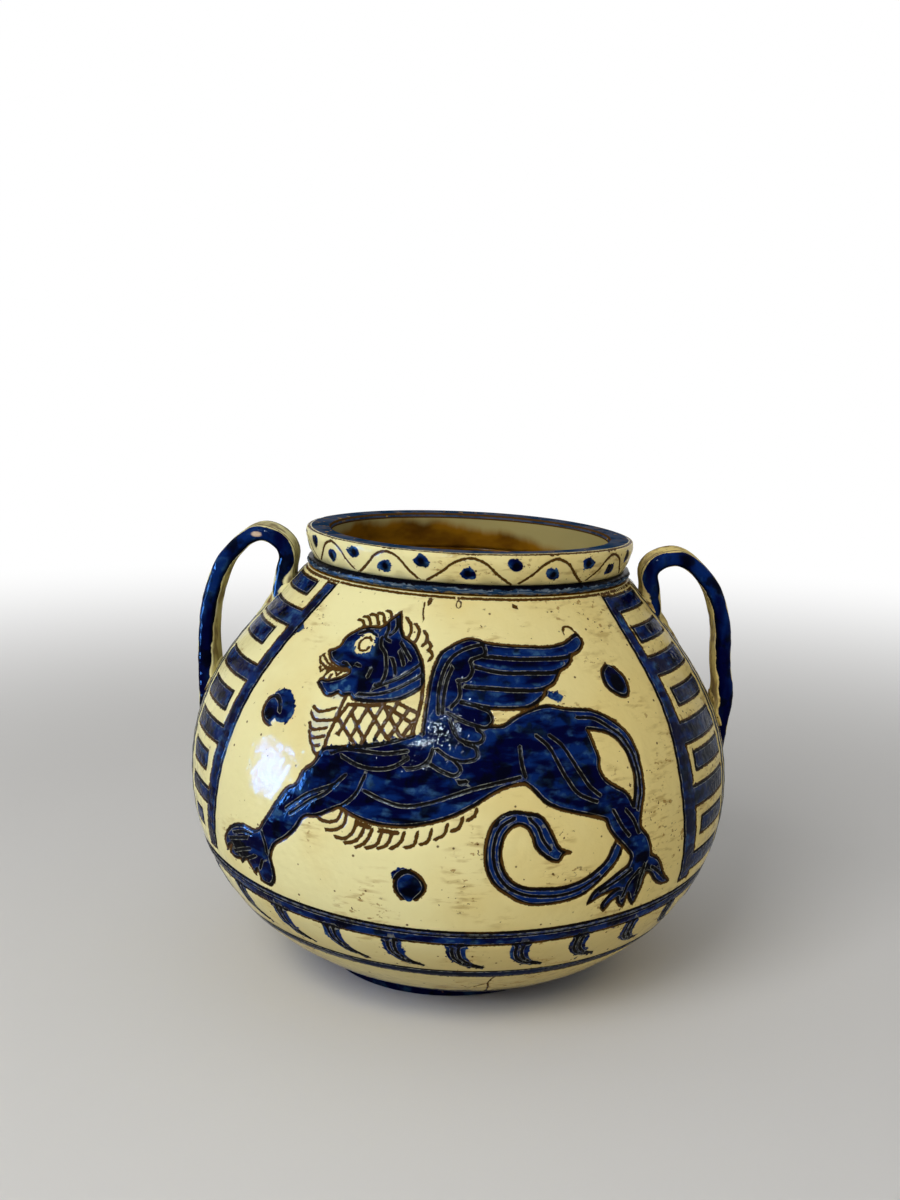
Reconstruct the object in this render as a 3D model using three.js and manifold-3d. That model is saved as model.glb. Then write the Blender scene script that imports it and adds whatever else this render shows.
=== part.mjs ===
// A round-bellied, two-handled vase of tin-glazed earthenware, in millimetres, +Z up.
// It is put together as the potter does it: a thrown body, a foot ring under it, a cordon and a
// collar on its neck, and two strap handles whose ends are luted to the wall with soft clay.
import * as THREE from 'three';
import { mergeVertices } from 'three/addons/utils/BufferGeometryUtils.js';
import Module from 'manifold-3d';

// Seams and the lean of the pot
const SEAM_GAP = 0.3;
const LEAN_DEGREES = 1.9;

// Foot ring
const FOOT_RADIUS = 60;
const FOOT_WIDTH = 9;
const FOOT_HEIGHT = 6;
const FOOT_FLARE = 2;

// Thrown body
const BASE_RADIUS = 66;
const BASE_SWEEP = 40;
const BASE_SLOPE_DEGREES = 24;
const BELLY_RADIUS = 128.5;
const BELLY_HEIGHT = 94;
const BELLY_FULLNESS_BELOW = 40;
const BELLY_FULLNESS_ABOVE = 45;
const NECK_RADIUS = 76;
const NECK_HEIGHT = 190.5;
const NECK_SWEEP = 40;
const NECK_SLOPE_DEGREES = 50;
const WALL = 7;
const FLOOR = 9;

// Cordon and collar, from the neck inwards and upwards
const CORDON_WIDTH = 4.2;
const CORDON_HEIGHT = 4.2;
const CORDON_SWELL = 1.4;
const STEM_WALL = 4.5;
const COLLAR_STEP = 2.5;
const COLLAR_SWELL = 1.4;
const COLLAR_HEIGHT = 18.3;
const LIP_INSET = 1.2;
const LIP_ROUND = 1.8;

// Strap handles
const STRAP_WIDTH = 24;
const STRAP_THICKNESS = 7.4;
const STRAP_ROUND = 2.6;
const ROOT_DROP = 12;
const ROOT_RUN = 6;
const ROOT_RISE = 5;
const RISER_OUT = 9.5;
const RISER_LIFT = 4;
const CROWN_OUT = 20.5;
const LEFT_CROWN_LIFT = 13;
const RIGHT_CROWN_LIFT = 11;
const LIMB_INSET = 5;
const LIMB_LIFT = 56;
const LEFT_END_LIFT = 33;
const RIGHT_END_LIFT = 29;
const END_RUN = 14;
const END_RISE = 6;
// Shares of the way from the crown out and down to the limb, at two points of the bend between
const BEND_OUT = 0.62;
const BEND_DOWN = 0.2;
const OUTER_OUT = 0.91;
const OUTER_DOWN = 0.55;

// Luting clay around the handle ends
const LUTING_SPREAD = 4;
const UPPER_LUTING_THICKNESS = 5;
const UPPER_LUTING_LENGTH = 11;
const LOWER_LUTING_THICKNESS = 3.8;
const LOWER_LUTING_LENGTH = 17;

// Fineness of the facets
const TURN_STEPS = 56;
const CURVE_STEPS = 8;
const STRAP_STEPS = 30;
const EDGE_STEPS = 3;
const LUMP_STEPS = 20;
const HALVINGS = 40;
const MERGE_DISTANCE = 1e-4;

const CREAM = 0xd3c78b;
const COBALT = 0x1c2f7a;
const SLATE_BLUE = 0x54677f;
const CLAY_BROWN = 0x6d5434;

const lean = THREE.MathUtils.degToRad(LEAN_DEGREES);
const stemRadius = NECK_RADIUS - CORDON_WIDTH - SEAM_GAP;
const neckBore = stemRadius - STEM_WALL;
const mouthRadius = neckBore - LIP_INSET;
const wasm = await Module();
wasm.setup();

// A closed mesh with merged vertices becomes a solid that can be joined and cut.
function solidFrom(geometry) {
  const bare = geometry.clone();
  bare.deleteAttribute('normal');
  bare.deleteAttribute('uv');
  const merged = mergeVertices(bare, MERGE_DISTANCE);
  const triangles = [];
  for (let i = 0; i < merged.index.count; i += 3) {
    const [a, b, c] = [0, 1, 2].map((k) => merged.index.getX(i + k));
    if (a !== b && b !== c && c !== a) {
      triangles.push(a, b, c);
    }
  }
  const mesh = new wasm.Mesh({
    numProp: 3,
    vertProperties: new Float32Array(merged.attributes.position.array),
    triVerts: new Uint32Array(triangles),
  });
  return new wasm.Manifold(mesh);
}

function geometryFrom(solid) {
  const { vertProperties, triVerts } = solid.getMesh();
  const geometry = new THREE.BufferGeometry();
  geometry.setAttribute('position', new THREE.BufferAttribute(vertProperties, 3));
  geometry.setIndex(new THREE.BufferAttribute(triVerts, 1));
  return geometry;
}

// Points of a profile, radius and height, turned about +Z.
function turned(profile) {
  return new THREE.LatheGeometry(profile, TURN_STEPS).rotateX(Math.PI / 2);
}

function named(name, geometry, color, roughness) {
  const material = new THREE.MeshStandardMaterial({ color, roughness, metalness: 0 });
  const mesh = new THREE.Mesh(geometry, material);
  mesh.name = name;
  return mesh;
}

// The outside of the body: one curve from the base to the belly, one from the belly to the neck.
function sweep(length, degrees) {
  const angle = THREE.MathUtils.degToRad(degrees);
  return new THREE.Vector2(Math.cos(angle), Math.sin(angle)).multiplyScalar(length);
}

const base = new THREE.Vector2(BASE_RADIUS, FOOT_HEIGHT);
const belly = new THREE.Vector2(BELLY_RADIUS, BELLY_HEIGHT);
const neck = new THREE.Vector2(NECK_RADIUS, NECK_HEIGHT);
const neckSweep = sweep(NECK_SWEEP, -NECK_SLOPE_DEGREES);
const lowerWall = new THREE.CubicBezierCurve(
  base,
  base.clone().add(sweep(BASE_SWEEP, BASE_SLOPE_DEGREES)),
  belly.clone().sub(new THREE.Vector2(0, BELLY_FULLNESS_BELOW)),
  belly,
);
const upperWall = new THREE.CubicBezierCurve(
  belly,
  belly.clone().add(new THREE.Vector2(0, BELLY_FULLNESS_ABOVE)),
  neck.clone().add(neckSweep),
  neck,
);

// Points along the wall, moved in or out by an offset square to it.
function wallPoints(offset) {
  const points = [];
  for (const curve of [lowerWall, upperWall]) {
    for (let i = curve === lowerWall ? 0 : 1; i <= CURVE_STEPS; i += 1) {
      const tangent = curve.getTangent(i / CURVE_STEPS);
      const outward = new THREE.Vector2(tangent.y, -tangent.x).multiplyScalar(offset);
      points.push(curve.getPoint(i / CURVE_STEPS).add(outward));
    }
  }
  return points;
}

// The place on the upper wall at a height, with the directions up along the wall and out of it.
function shoulderPlace(height) {
  let low = 0;
  let high = 1;
  for (let i = 0; i < HALVINGS; i += 1) {
    const middle = (low + high) / 2;
    if (upperWall.getPoint(middle).y < height) {
      low = middle;
    } else {
      high = middle;
    }
  }
  const spot = upperWall.getPoint(low);
  const up = upperWall.getTangent(low);
  return {
    spot: new THREE.Vector3(spot.x, 0, spot.y),
    up: new THREE.Vector3(up.x, 0, up.y),
    out: new THREE.Vector3(up.y, 0, -up.x),
  };
}

function bodyGeometry() {
  const floorHeight = FOOT_HEIGHT + FLOOR;
  const bore = new THREE.Vector2(neckBore, NECK_HEIGHT);
  const insideTop = NECK_HEIGHT - WALL;
  const inside = wallPoints(-WALL).filter((point) => point.y > floorHeight && point.y < insideTop);
  const floorRadius = inside[0].x - (inside[0].y - floorHeight);
  return turned([
    new THREE.Vector2(0, FOOT_HEIGHT),
    ...wallPoints(0),
    bore,
    ...inside.reverse(),
    new THREE.Vector2(floorRadius, floorHeight),
    new THREE.Vector2(0, floorHeight),
  ]);
}

// The filled outside of the body, grown by the seam gap: it trims what sits on the wall.
function wallTrim() {
  const points = wallPoints(SEAM_GAP);
  const last = points[points.length - 1];
  return solidFrom(turned([
    new THREE.Vector2(0, FOOT_HEIGHT - SEAM_GAP),
    ...points,
    new THREE.Vector2(0, last.y),
  ]));
}

// The foot ring stands level, so its top is trimmed to the slant of the leaning base.
function footGeometry(leaning) {
  const inner = FOOT_RADIUS - FOOT_WIDTH;
  const tall = FOOT_HEIGHT * 2;
  const ring = turned([
    new THREE.Vector2(inner, 0),
    new THREE.Vector2(FOOT_RADIUS, 0),
    new THREE.Vector2(FOOT_RADIUS, FOOT_HEIGHT / 2),
    new THREE.Vector2(FOOT_RADIUS + FOOT_FLARE, tall),
    new THREE.Vector2(inner - FOOT_FLARE, tall),
    new THREE.Vector2(inner, 0),
  ]);
  const blockHeight = tall * 2;
  const block = new THREE.CylinderGeometry(BELLY_RADIUS, BELLY_RADIUS, blockHeight, TURN_STEPS);
  block.rotateX(Math.PI / 2);
  block.translate(0, 0, FOOT_HEIGHT - SEAM_GAP + blockHeight / 2 - BELLY_HEIGHT);
  leaning.updateMatrixWorld();
  block.applyMatrix4(leaning.matrixWorld);
  ring.translate(-(BELLY_HEIGHT - FOOT_HEIGHT) * Math.sin(lean), 0, 0);
  return geometryFrom(solidFrom(ring).subtract(solidFrom(block)));
}

// A half-round roll lying on the neck, outside the stem of the collar.
function cordonGeometry() {
  const inner = NECK_RADIUS - CORDON_WIDTH;
  const middle = NECK_RADIUS - CORDON_WIDTH / 2;
  const bulge = NECK_RADIUS + CORDON_SWELL;
  const seat = NECK_HEIGHT + SEAM_GAP;
  const top = seat + CORDON_HEIGHT;
  const roll = new THREE.Path();
  roll.moveTo(inner, seat);
  roll.lineTo(middle, seat);
  roll.bezierCurveTo(bulge, seat, bulge, top, middle, top);
  roll.lineTo(inner, top);
  roll.lineTo(inner, seat);
  return turned(roll.getPoints(2 * EDGE_STEPS));
}

// The collar: a stem inside the cordon, a swelling face, and a flat lip with rounded edges.
function collarGeometry() {
  const seat = NECK_HEIGHT + SEAM_GAP;
  const top = NECK_HEIGHT + COLLAR_HEIGHT;
  const faceFoot = seat + CORDON_HEIGHT + SEAM_GAP;
  const faceRadius = NECK_RADIUS + COLLAR_SWELL;
  const ring = new THREE.Path();
  ring.moveTo(neckBore, seat);
  ring.lineTo(stemRadius, seat);
  ring.lineTo(stemRadius, faceFoot);
  ring.lineTo(stemRadius + COLLAR_STEP, faceFoot);
  ring.quadraticCurveTo(faceRadius, (faceFoot + top) / 2, faceRadius, top - LIP_ROUND);
  ring.quadraticCurveTo(faceRadius, top, faceRadius - LIP_ROUND, top);
  ring.lineTo(mouthRadius + LIP_ROUND, top);
  ring.quadraticCurveTo(mouthRadius, top, mouthRadius, top - LIP_ROUND);
  ring.lineTo(neckBore, seat);
  return turned(ring.getPoints(EDGE_STEPS));
}

// The middle line of a strap, in the plane of one handle: out along +X, up along +Z.
// At both ends it crosses the wall at a set slant and runs on inside, where the trim cuts it.
function strapLine(crownLift, endLift) {
  const root = shoulderPlace(NECK_HEIGHT - ROOT_DROP);
  const end = shoulderPlace(BELLY_HEIGHT + endLift);
  const rootRun = root.up.clone().multiplyScalar(ROOT_RUN).addScaledVector(root.out, ROOT_RISE);
  const endRun = end.up.clone().multiplyScalar(END_RUN).addScaledVector(end.out, END_RISE);
  const riser = new THREE.Vector3(NECK_RADIUS + RISER_OUT, 0, NECK_HEIGHT + RISER_LIFT);
  const crown = new THREE.Vector3(NECK_RADIUS + CROWN_OUT, 0, NECK_HEIGHT + crownLift);
  const limb = new THREE.Vector3(BELLY_RADIUS - LIMB_INSET, 0, BELLY_HEIGHT + LIMB_LIFT);
  const reach = limb.clone().sub(crown);
  const bend = new THREE.Vector3(crown.x + BEND_OUT * reach.x, 0, crown.z + BEND_DOWN * reach.z);
  const outer = new THREE.Vector3(crown.x + OUTER_OUT * reach.x, 0, crown.z + OUTER_DOWN * reach.z);
  const points = [
    root.spot.clone().sub(rootRun),
    root.spot,
    root.spot.clone().add(rootRun),
    riser, crown, bend, outer, limb,
    end.spot.clone().add(endRun),
    end.spot,
    end.spot.clone().sub(endRun),
  ];
  return { curve: new THREE.CatmullRomCurve3(points), root, end };
}

// A strap section with rounded edges, grown by an offset, swept along the middle line.
function strapGeometry(curve, offset) {
  const halfWidth = STRAP_WIDTH / 2 + offset;
  const half = STRAP_THICKNESS / 2 + offset;
  const round = STRAP_ROUND + offset;
  const section = new THREE.Shape();
  section.moveTo(-halfWidth, -half + round);
  section.quadraticCurveTo(-halfWidth, -half, -halfWidth + round, -half);
  section.lineTo(halfWidth - round, -half);
  section.quadraticCurveTo(halfWidth, -half, halfWidth, -half + round);
  section.lineTo(halfWidth, half - round);
  section.quadraticCurveTo(halfWidth, half, halfWidth - round, half);
  section.lineTo(-halfWidth + round, half);
  section.quadraticCurveTo(-halfWidth, half, -halfWidth, half - round);
  section.lineTo(-halfWidth, -half + round);
  return new THREE.ExtrudeGeometry(section, { extrudePath: curve, steps: STRAP_STEPS, curveSegments: 2 });
}

// A flattened lump of clay at a place on the wall, tilted to the slope of the wall there.
function lutingLump(place, thickness, length) {
  const lump = new THREE.SphereGeometry(1, LUMP_STEPS, LUMP_STEPS / 2);
  lump.scale(thickness, STRAP_WIDTH / 2 + LUTING_SPREAD, length);
  lump.rotateY(Math.atan2(place.up.x, place.up.z));
  lump.translate(place.spot.x, 0, place.spot.z);
  return solidFrom(lump);
}

// One handle with its two lutings, on the side given by the turn about +Z.
function handle(side, turn, crownLift, endLift, trim) {
  const { curve, root, end } = strapLine(crownLift, endLift);
  const strap = solidFrom(strapGeometry(curve, 0)).subtract(trim);
  const strapTrim = solidFrom(strapGeometry(curve, SEAM_GAP));
  const upperLump = lutingLump(root, UPPER_LUTING_THICKNESS, UPPER_LUTING_LENGTH);
  const lowerLump = lutingLump(end, LOWER_LUTING_THICKNESS, LOWER_LUTING_LENGTH);
  const upper = upperLump.subtract(trim).subtract(strapTrim);
  const lower = lowerLump.subtract(trim).subtract(strapTrim);
  const group = new THREE.Group();
  group.rotation.z = turn;
  group.add(
    named(`${side}_handle`, geometryFrom(strap), COBALT, 0.25),
    named(`${side}_upper_luting`, geometryFrom(upper), CLAY_BROWN, 0.45),
    named(`${side}_lower_luting`, geometryFrom(lower), CLAY_BROWN, 0.45),
  );
  return group;
}

const vase = new THREE.Group();
const leaning = new THREE.Group();
leaning.position.z = BELLY_HEIGHT;
leaning.rotation.y = lean;
vase.add(leaning);

const upright = new THREE.Group();
upright.position.z = -BELLY_HEIGHT;
leaning.add(upright);

const trim = wallTrim();
upright.add(
  named('vessel_body', bodyGeometry(), CREAM, 0.2),
  named('neck_cordon', cordonGeometry(), SLATE_BLUE, 0.3),
  named('rim_collar', collarGeometry(), CREAM, 0.2),
  handle('right', 0, RIGHT_CROWN_LIFT, RIGHT_END_LIFT, trim),
  handle('left', Math.PI, LEFT_CROWN_LIFT, LEFT_END_LIFT, trim),
);
vase.add(named('foot_ring', footGeometry(leaning), COBALT, 0.3));

export default vase;
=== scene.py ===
# %% [markdown]
# # A two-handled majolica vase
# The vase is tin-glazed earthenware: a thrown pot under a cream glaze, with figures cut into the
# clay and filled with cobalt blue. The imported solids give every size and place. This lesson dresses
# them, and it starts by loading them, so that each new piece is made around a fixed frame.

# %% Load the frame
import math
import bpy
import numpy as np
from mathutils import Matrix, Vector
from mathutils.geometry import delaunay_2d_cdt


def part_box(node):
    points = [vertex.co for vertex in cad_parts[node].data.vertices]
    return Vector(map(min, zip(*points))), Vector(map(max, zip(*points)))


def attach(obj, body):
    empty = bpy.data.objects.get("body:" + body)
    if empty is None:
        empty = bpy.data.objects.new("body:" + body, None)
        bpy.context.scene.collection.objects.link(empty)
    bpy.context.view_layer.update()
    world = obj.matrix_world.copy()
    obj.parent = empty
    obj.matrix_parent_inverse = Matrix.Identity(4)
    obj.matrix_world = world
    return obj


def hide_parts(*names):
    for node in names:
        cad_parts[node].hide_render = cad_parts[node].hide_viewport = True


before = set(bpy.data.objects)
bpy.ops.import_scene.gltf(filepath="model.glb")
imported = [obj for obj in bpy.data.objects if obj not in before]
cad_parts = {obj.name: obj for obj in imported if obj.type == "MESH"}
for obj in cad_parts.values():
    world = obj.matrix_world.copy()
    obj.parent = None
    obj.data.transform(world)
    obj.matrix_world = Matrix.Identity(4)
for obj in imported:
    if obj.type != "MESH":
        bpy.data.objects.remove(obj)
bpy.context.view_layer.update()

MM = 0.001

# %% [markdown]
# ## The camera
# The camera stands where the photographer stood, a little above the rim and nearly square to the
# painted side. Its focal length is known in pixels of the photograph, which is 1200 pixels tall, and
# Blender's lens is that length on a sensor whose long side is the height of the picture.

# %% Set the camera
PHOTO_HEIGHT = 1200
FOCAL_PIXELS = 1400
SENSOR_SIZE = 36
CAMERA_PLACE = Vector((11.5, -661.5, 294.8)) * MM
PITCH_DOWN = math.radians(10.28)
YAW_LEFT = math.radians(1.45)
ROLL = math.radians(0.84)

camera = bpy.data.objects.new("camera", bpy.data.cameras.new("camera"))
camera.data.sensor_width = SENSOR_SIZE
camera.data.lens = SENSOR_SIZE * FOCAL_PIXELS / PHOTO_HEIGHT
upright = Matrix.Rotation(math.pi / 2, 4, "X")
tilt = Matrix.Rotation(-PITCH_DOWN, 4, "X") @ Matrix.Rotation(-ROLL, 4, "Y")
aim = Matrix.Rotation(YAW_LEFT, 4, "Z") @ tilt @ upright
camera.matrix_world = Matrix.Translation(CAMERA_PLACE) @ aim
bpy.context.collection.objects.link(camera)
bpy.context.scene.camera = camera
bpy.context.scene.view_settings.view_transform = "Standard"
print("camera lens:", round(camera.data.lens, 1), "mm")

# %% [markdown]
# ## Sums on sockets
# A glaze is a lot of arithmetic: how deep the blue lies, how brown a cut line is. Node by node that is
# hard to read, so one small class wraps a socket. Sums on it add Math nodes, colours are blended by
# Mix nodes, and one method makes any other node.

# %% A socket that can be reckoned with


class Socket:
    """The output of a node in a material. Arithmetic on it adds the nodes that work it out."""

    def __init__(self, tree, output=None):
        self.tree = tree
        self.output = output

    def node(self, kind, settings, inputs, result=0):
        made = self.tree.nodes.new(kind)
        for name, value in settings.items():
            setattr(made, name, value)
        for name, value in inputs.items():
            if isinstance(value, Socket):
                self.tree.links.new(value.output, made.inputs[name])
            else:
                made.inputs[name].default_value = value
        return Socket(self.tree, made.outputs[result])

    def sum(self, operation, first, second):
        return self.node("ShaderNodeMath", {"operation": operation}, {0: first, 1: second})

    def __add__(self, other):
        return self.sum("ADD", self, other)

    def __sub__(self, other):
        return self.sum("SUBTRACT", self, other)

    def __rsub__(self, other):
        return self.sum("SUBTRACT", other, self)

    def __mul__(self, other):
        return self.sum("MULTIPLY", self, other)

    __radd__ = __add__
    __rmul__ = __mul__

    def most(self, other):
        return self.sum("MAXIMUM", self, other)

    def step(self, start, end):
        """0 before start, 1 past end, and smooth between; start may be the larger of the two."""
        ends = {"Value": self, "From Min": start, "From Max": end}
        return self.node("ShaderNodeMapRange", {"interpolation_type": "SMOOTHSTEP"}, ends)

    def blend(self, first, second):
        """Mixes two colours, with this socket as the share of the second."""
        return self.node("ShaderNodeMix", {"data_type": "RGBA"}, {0: self, 6: first, 7: second}, 2)

    def place(self):
        """The object's own coordinates."""
        return self.node("ShaderNodeTexCoord", {}, {}, "Object")

    def axis(self, letter):
        """One of the object's own coordinates, in metres."""
        return self.node("ShaderNodeSeparateXYZ", {}, {"Vector": self.place()}, letter)

    def noise(self, size, detail=2.0, flatness=1.0):
        """Cloudy noise with lumps of a size in millimetres; flatness draws them out level round the pot."""
        place = self.place()
        if flatness != 1.0:
            place = self.node("ShaderNodeMapping", {}, {"Vector": place, "Scale": (1, 1, flatness)})
        clouds = {"Vector": place, "Scale": 1 / (size * MM), "Detail": detail}
        return self.node("ShaderNodeTexNoise", {}, clouds)

    def measure(self, name):
        """A number that the mesh carries at each of its points."""
        return self.node("ShaderNodeAttribute", {"attribute_name": name}, {}, "Fac")


def colour(red, green, blue):
    """A screen colour of 0 to 255 as the linear colour that a socket takes."""
    shares = [value / 255 for value in (red, green, blue)]
    return (*[s / 12.92 if s <= 0.04045 else ((s + 0.055) / 1.055) ** 2.4 for s in shares], 1.0)


print("sums on sockets ready")

# %% [markdown]
# ## The turned wall
# The potter's wheel makes the body round, so one profile describes it: two smooth curves that meet
# at the widest part of the belly. The profile is measured along its own length, because a line that is
# drawn on the wall follows the clay and not the height. The fired pot leans a little to the right.

# %% Profile and lean
LEAN = math.radians(1.9)
FOOT_HEIGHT = 6.0
BASE = np.array((66.0, FOOT_HEIGHT))
BELLY = np.array((128.5, 94.0))
NECK = np.array((76.0, 190.5))
WALL = 7.0
FLOOR_HEIGHT = 15.0
NECK_BORE = 67.0
BASE_RUN = (40, 24)
BELLY_RUNS = (40, 45)
NECK_RUN = (40, -50)
PROFILE_STEPS = 120


class Turning:
    """A turned wall: radius and height of its profile, measured along the profile from its start."""

    def __init__(self, profile):
        self.profile = np.array(profile)
        legs = np.hypot(*np.diff(self.profile, axis=0).T)
        self.run = np.concatenate([[0], np.cumsum(legs)])
        slope = np.gradient(self.profile, self.run, axis=0)
        self.outward = np.column_stack([slope[:, 1], -slope[:, 0]])

    def length(self):
        return self.run[-1]

    def radius(self, run):
        return np.interp(run, self.run, self.profile[:, 0])

    def run_at(self, height):
        return np.interp(height, self.profile[:, 1], self.run)

    def place(self, angle, run, lift):
        """Points on the wall, lifted off it. Angle 0 is the front and grows to the right."""
        out = [np.interp(run, self.run, part) for part in self.outward.T]
        radius = self.radius(run) + lift * out[0]
        height = np.interp(run, self.run, self.profile[:, 1]) + lift * out[1]
        return np.column_stack([radius * np.sin(angle), -radius * np.cos(angle), height])


def sweep(length, degrees):
    """A step of a length, at some degrees above the level."""
    return length * np.array((math.cos(math.radians(degrees)), math.sin(math.radians(degrees))))


def bezier(points, steps):
    share = np.linspace(0, 1, steps)[:, None]
    rest = 1 - share
    return (rest**3 * points[0] + 3 * rest**2 * share * points[1]
            + 3 * rest * share**2 * points[2] + share**3 * points[3])


def leaned(points):
    """Points of the upright pot, in the frame where it leans to +X about the middle of its belly."""
    pivot = np.array((0, 0, BELLY[1]))
    turn = np.array(Matrix.Rotation(LEAN, 3, "Y"))
    return (points - pivot) @ turn.T + pivot


below, above = BELLY_RUNS
lower_wall = bezier([BASE, BASE + sweep(*BASE_RUN), BELLY - (0, below), BELLY], PROFILE_STEPS)
upper_wall = bezier([BELLY, BELLY + (0, above), NECK + sweep(*NECK_RUN), NECK], PROFILE_STEPS)
body_wall = Turning(np.vstack([lower_wall, upper_wall[1:]]))
print("body wall:", round(body_wall.length(), 1), "mm along the profile")

# %% [markdown]
# ## Drawing on clay
# The decorator cut each outline into the leather-hard clay, and brushed blue inside it. A drawing here
# keeps the same two things on the unrolled wall: cut lines with a width, and patches of colour. The
# points are few, and a smooth curve goes through them; where a line turns sharply the corner stays.

# %% Curves, lines and patches
CORNER_COSINE = 0.14
SQUARE_CORNER = 0.6
FINE_STEP = 1.3
LONG_STEP = 2.6
BURR = 0.45
REACH = 4.0
CHUNK = 24
GRID = 5.0
BLUE_MARGIN = 1.5
CELL = 0.42
CLEAR_OF_CUT = 1.1
EDGE_CLEAR = 0.8
SEAM_STEP = 1.2
RING_COLUMNS = 240
TINY = 1e-9
SAME_SPOT = 1e-5


def curve(points, step, closed=False, corner=CORNER_COSINE):
    """A smooth line through points, with sharp turns kept, as points about a step apart."""
    knots = np.array(points, float)
    if closed:
        knots = np.vstack([knots, knots[:1]])
    legs = np.diff(knots, axis=0)
    lengths = np.hypot(*legs.T)
    ways = legs / lengths[:, None]
    leaving = ways.copy()
    arriving = ways.copy()
    for i in range(len(ways) if closed else len(ways) - 1):
        j = (i + 1) % len(ways)
        if ways[i] @ ways[j] > corner:
            way = ways[i] * lengths[j] + ways[j] * lengths[i]
            arriving[i] = leaving[j] = way / np.hypot(*way)
    line = []
    for i, length in enumerate(lengths):
        t = np.linspace(0, 1, max(1, round(length / step)) + 1)[:-1, None]
        start = (2 * t**3 - 3 * t**2 + 1) * knots[i] + (t**3 - 2 * t**2 + t) * length * leaving[i]
        end = (3 * t**2 - 2 * t**3) * knots[i + 1] + (t**3 - t**2) * length * arriving[i]
        line.append(start + end)
    return np.vstack([*line, knots[-1:]])


class Drawing:
    """Cut lines and painted patches on an unrolled wall: mm across, as at a radius, and mm along."""

    def __init__(self, wall, radius, left, close):
        self.wall = wall
        self.radius = radius
        self.left = left
        self.close = close
        self.turn = 2 * math.pi * radius
        self.cuts = []
        self.patches = {"blue": [], "bare": [], "wash": [], "pool": []}

    def around(self, line):
        """The line, and its copies a turn away, where they reach into the unrolled wall."""
        for shift in (-self.turn, 0, self.turn):
            moved = line + (shift, 0)
            if moved[:, 0].max() > self.left and moved[:, 0].min() < self.left + self.turn:
                yield moved

    def cut(self, points, width, closed=False, step=FINE_STEP, corner=CORNER_COSINE):
        for line in self.around(curve(points, step, closed, corner)):
            self.cuts.append((line, width))

    def fill(self, layer, points, step=FINE_STEP, corner=CORNER_COSINE):
        self.patches[layer].extend(self.around(curve(points, step, True, corner)))

    def squeeze(self, spots):
        """How much narrower the real wall is at these spots than the drawing."""
        return self.wall.radius(spots[:, 1]) / self.radius

    def distance(self, spots, line):
        """Real distance from each spot to a line, up to the reach."""
        found = np.full(len(spots), REACH)
        squeeze = self.squeeze(spots)
        margin = REACH / squeeze.min()
        for first in range(0, len(line) - 1, CHUNK):
            part = line[first:first + CHUNK + 1]
            inside = np.all((spots > part.min(0) - margin) & (spots < part.max(0) + margin), axis=1)
            near = np.flatnonzero(inside)
            scale = np.column_stack([squeeze[near], np.ones(len(near))])[:, None, :]
            away = (spots[near][:, None, :] - part[None, :-1]) * scale
            leg = np.diff(part, axis=0)[None] * scale
            along = np.clip((away * leg).sum(2) / np.maximum((leg * leg).sum(2), TINY), 0, 1)
            gap = np.hypot(*np.moveaxis(away - along[:, :, None] * leg, 2, 0)).min(1, initial=REACH)
            found[near] = np.minimum(found[near], gap)
        return found

    def cut_depth(self, spots):
        """Distance of each spot outside the nearest cut line's edge; it is negative in the cut."""
        depth = np.full(len(spots), REACH)
        for line, width in self.cuts:
            depth = np.minimum(depth, self.distance(spots, line) - width / 2)
        return depth

    def outside(self, spots, layer):
        """Distance of each spot outside the nearest patch of a layer; it is negative inside."""
        depth = np.full(len(spots), REACH)
        for line in self.patches[layer]:
            inside = np.zeros(len(spots), bool)
            for (x, y), (next_x, next_y) in zip(line[:-1], line[1:]):
                if y != next_y:
                    spans = (spots[:, 1] > y) != (spots[:, 1] > next_y)
                    crossing = x + (next_x - x) * (spots[:, 1] - y) / (next_y - y)
                    inside ^= spans & (spots[:, 0] < crossing)
            gap = self.distance(spots, line)
            depth = np.minimum(depth, np.where(inside, -gap, gap))
        return depth

    def rows(self):
        """Points beside every cut line: its middle, its two edges and the crests of its burr."""
        rows = []
        for line, width in self.cuts:
            squeeze = self.squeeze(line)
            along = np.gradient(line, axis=0) * np.column_stack([squeeze, np.ones(len(line))])
            across = np.column_stack([-along[:, 1], along[:, 0]])
            across /= np.maximum(np.hypot(*across.T), TINY)[:, None]
            across[:, 0] /= squeeze
            for offset in (0, width / 2, -width / 2, width / 2 + BURR, -width / 2 - BURR):
                rows.append(line + offset * across)
        return np.vstack(rows)

    def grid(self, spacing):
        """Spots in rows over the unrolled wall, with every other row shifted by half a spacing."""
        across = np.arange(self.left, self.left + self.turn, spacing)
        columns, levels = np.meshgrid(across, np.arange(0, self.wall.length(), spacing))
        columns[1::2] += spacing / 2
        return np.column_stack([columns.ravel(), levels.ravel()])

    def triangles(self):
        """Spots over the unrolled wall, close together beside the lines, and triangles between them."""
        right = self.left + self.turn
        top = self.wall.length()
        ring = np.linspace(self.left, right, RING_COLUMNS + 1)
        seam = np.linspace(0, top, round(top / SEAM_STEP) + 1)[1:-1]
        border = [(x, y) for x in ring for y in (0, top)]
        border += [(x, y) for x in (self.left, right) for y in seam]
        close = self.grid(self.close)
        close = close[self.outside(close, "blue") < BLUE_MARGIN]
        plain = np.vstack([self.grid(GRID), close])
        plain = plain[self.cut_depth(plain) > CLEAR_OF_CUT]
        loose = np.vstack([self.rows(), plain])
        low_corner = (self.left + EDGE_CLEAR, EDGE_CLEAR)
        high_corner = (right - EDGE_CLEAR, top - EDGE_CLEAR)
        loose = loose[((loose > low_corner) & (loose < high_corner)).all(1)]
        cells = np.unique(np.round(loose / CELL).astype(int), axis=0, return_index=True)[1]
        spots = np.vstack([border, loose[np.sort(cells)]])
        found = delaunay_2d_cdt([Vector(spot) for spot in spots], [], [], 0, SAME_SPOT)
        return np.array([tuple(spot) for spot in found[0]]), np.array(found[2])


print("drawing tools ready")

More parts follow.
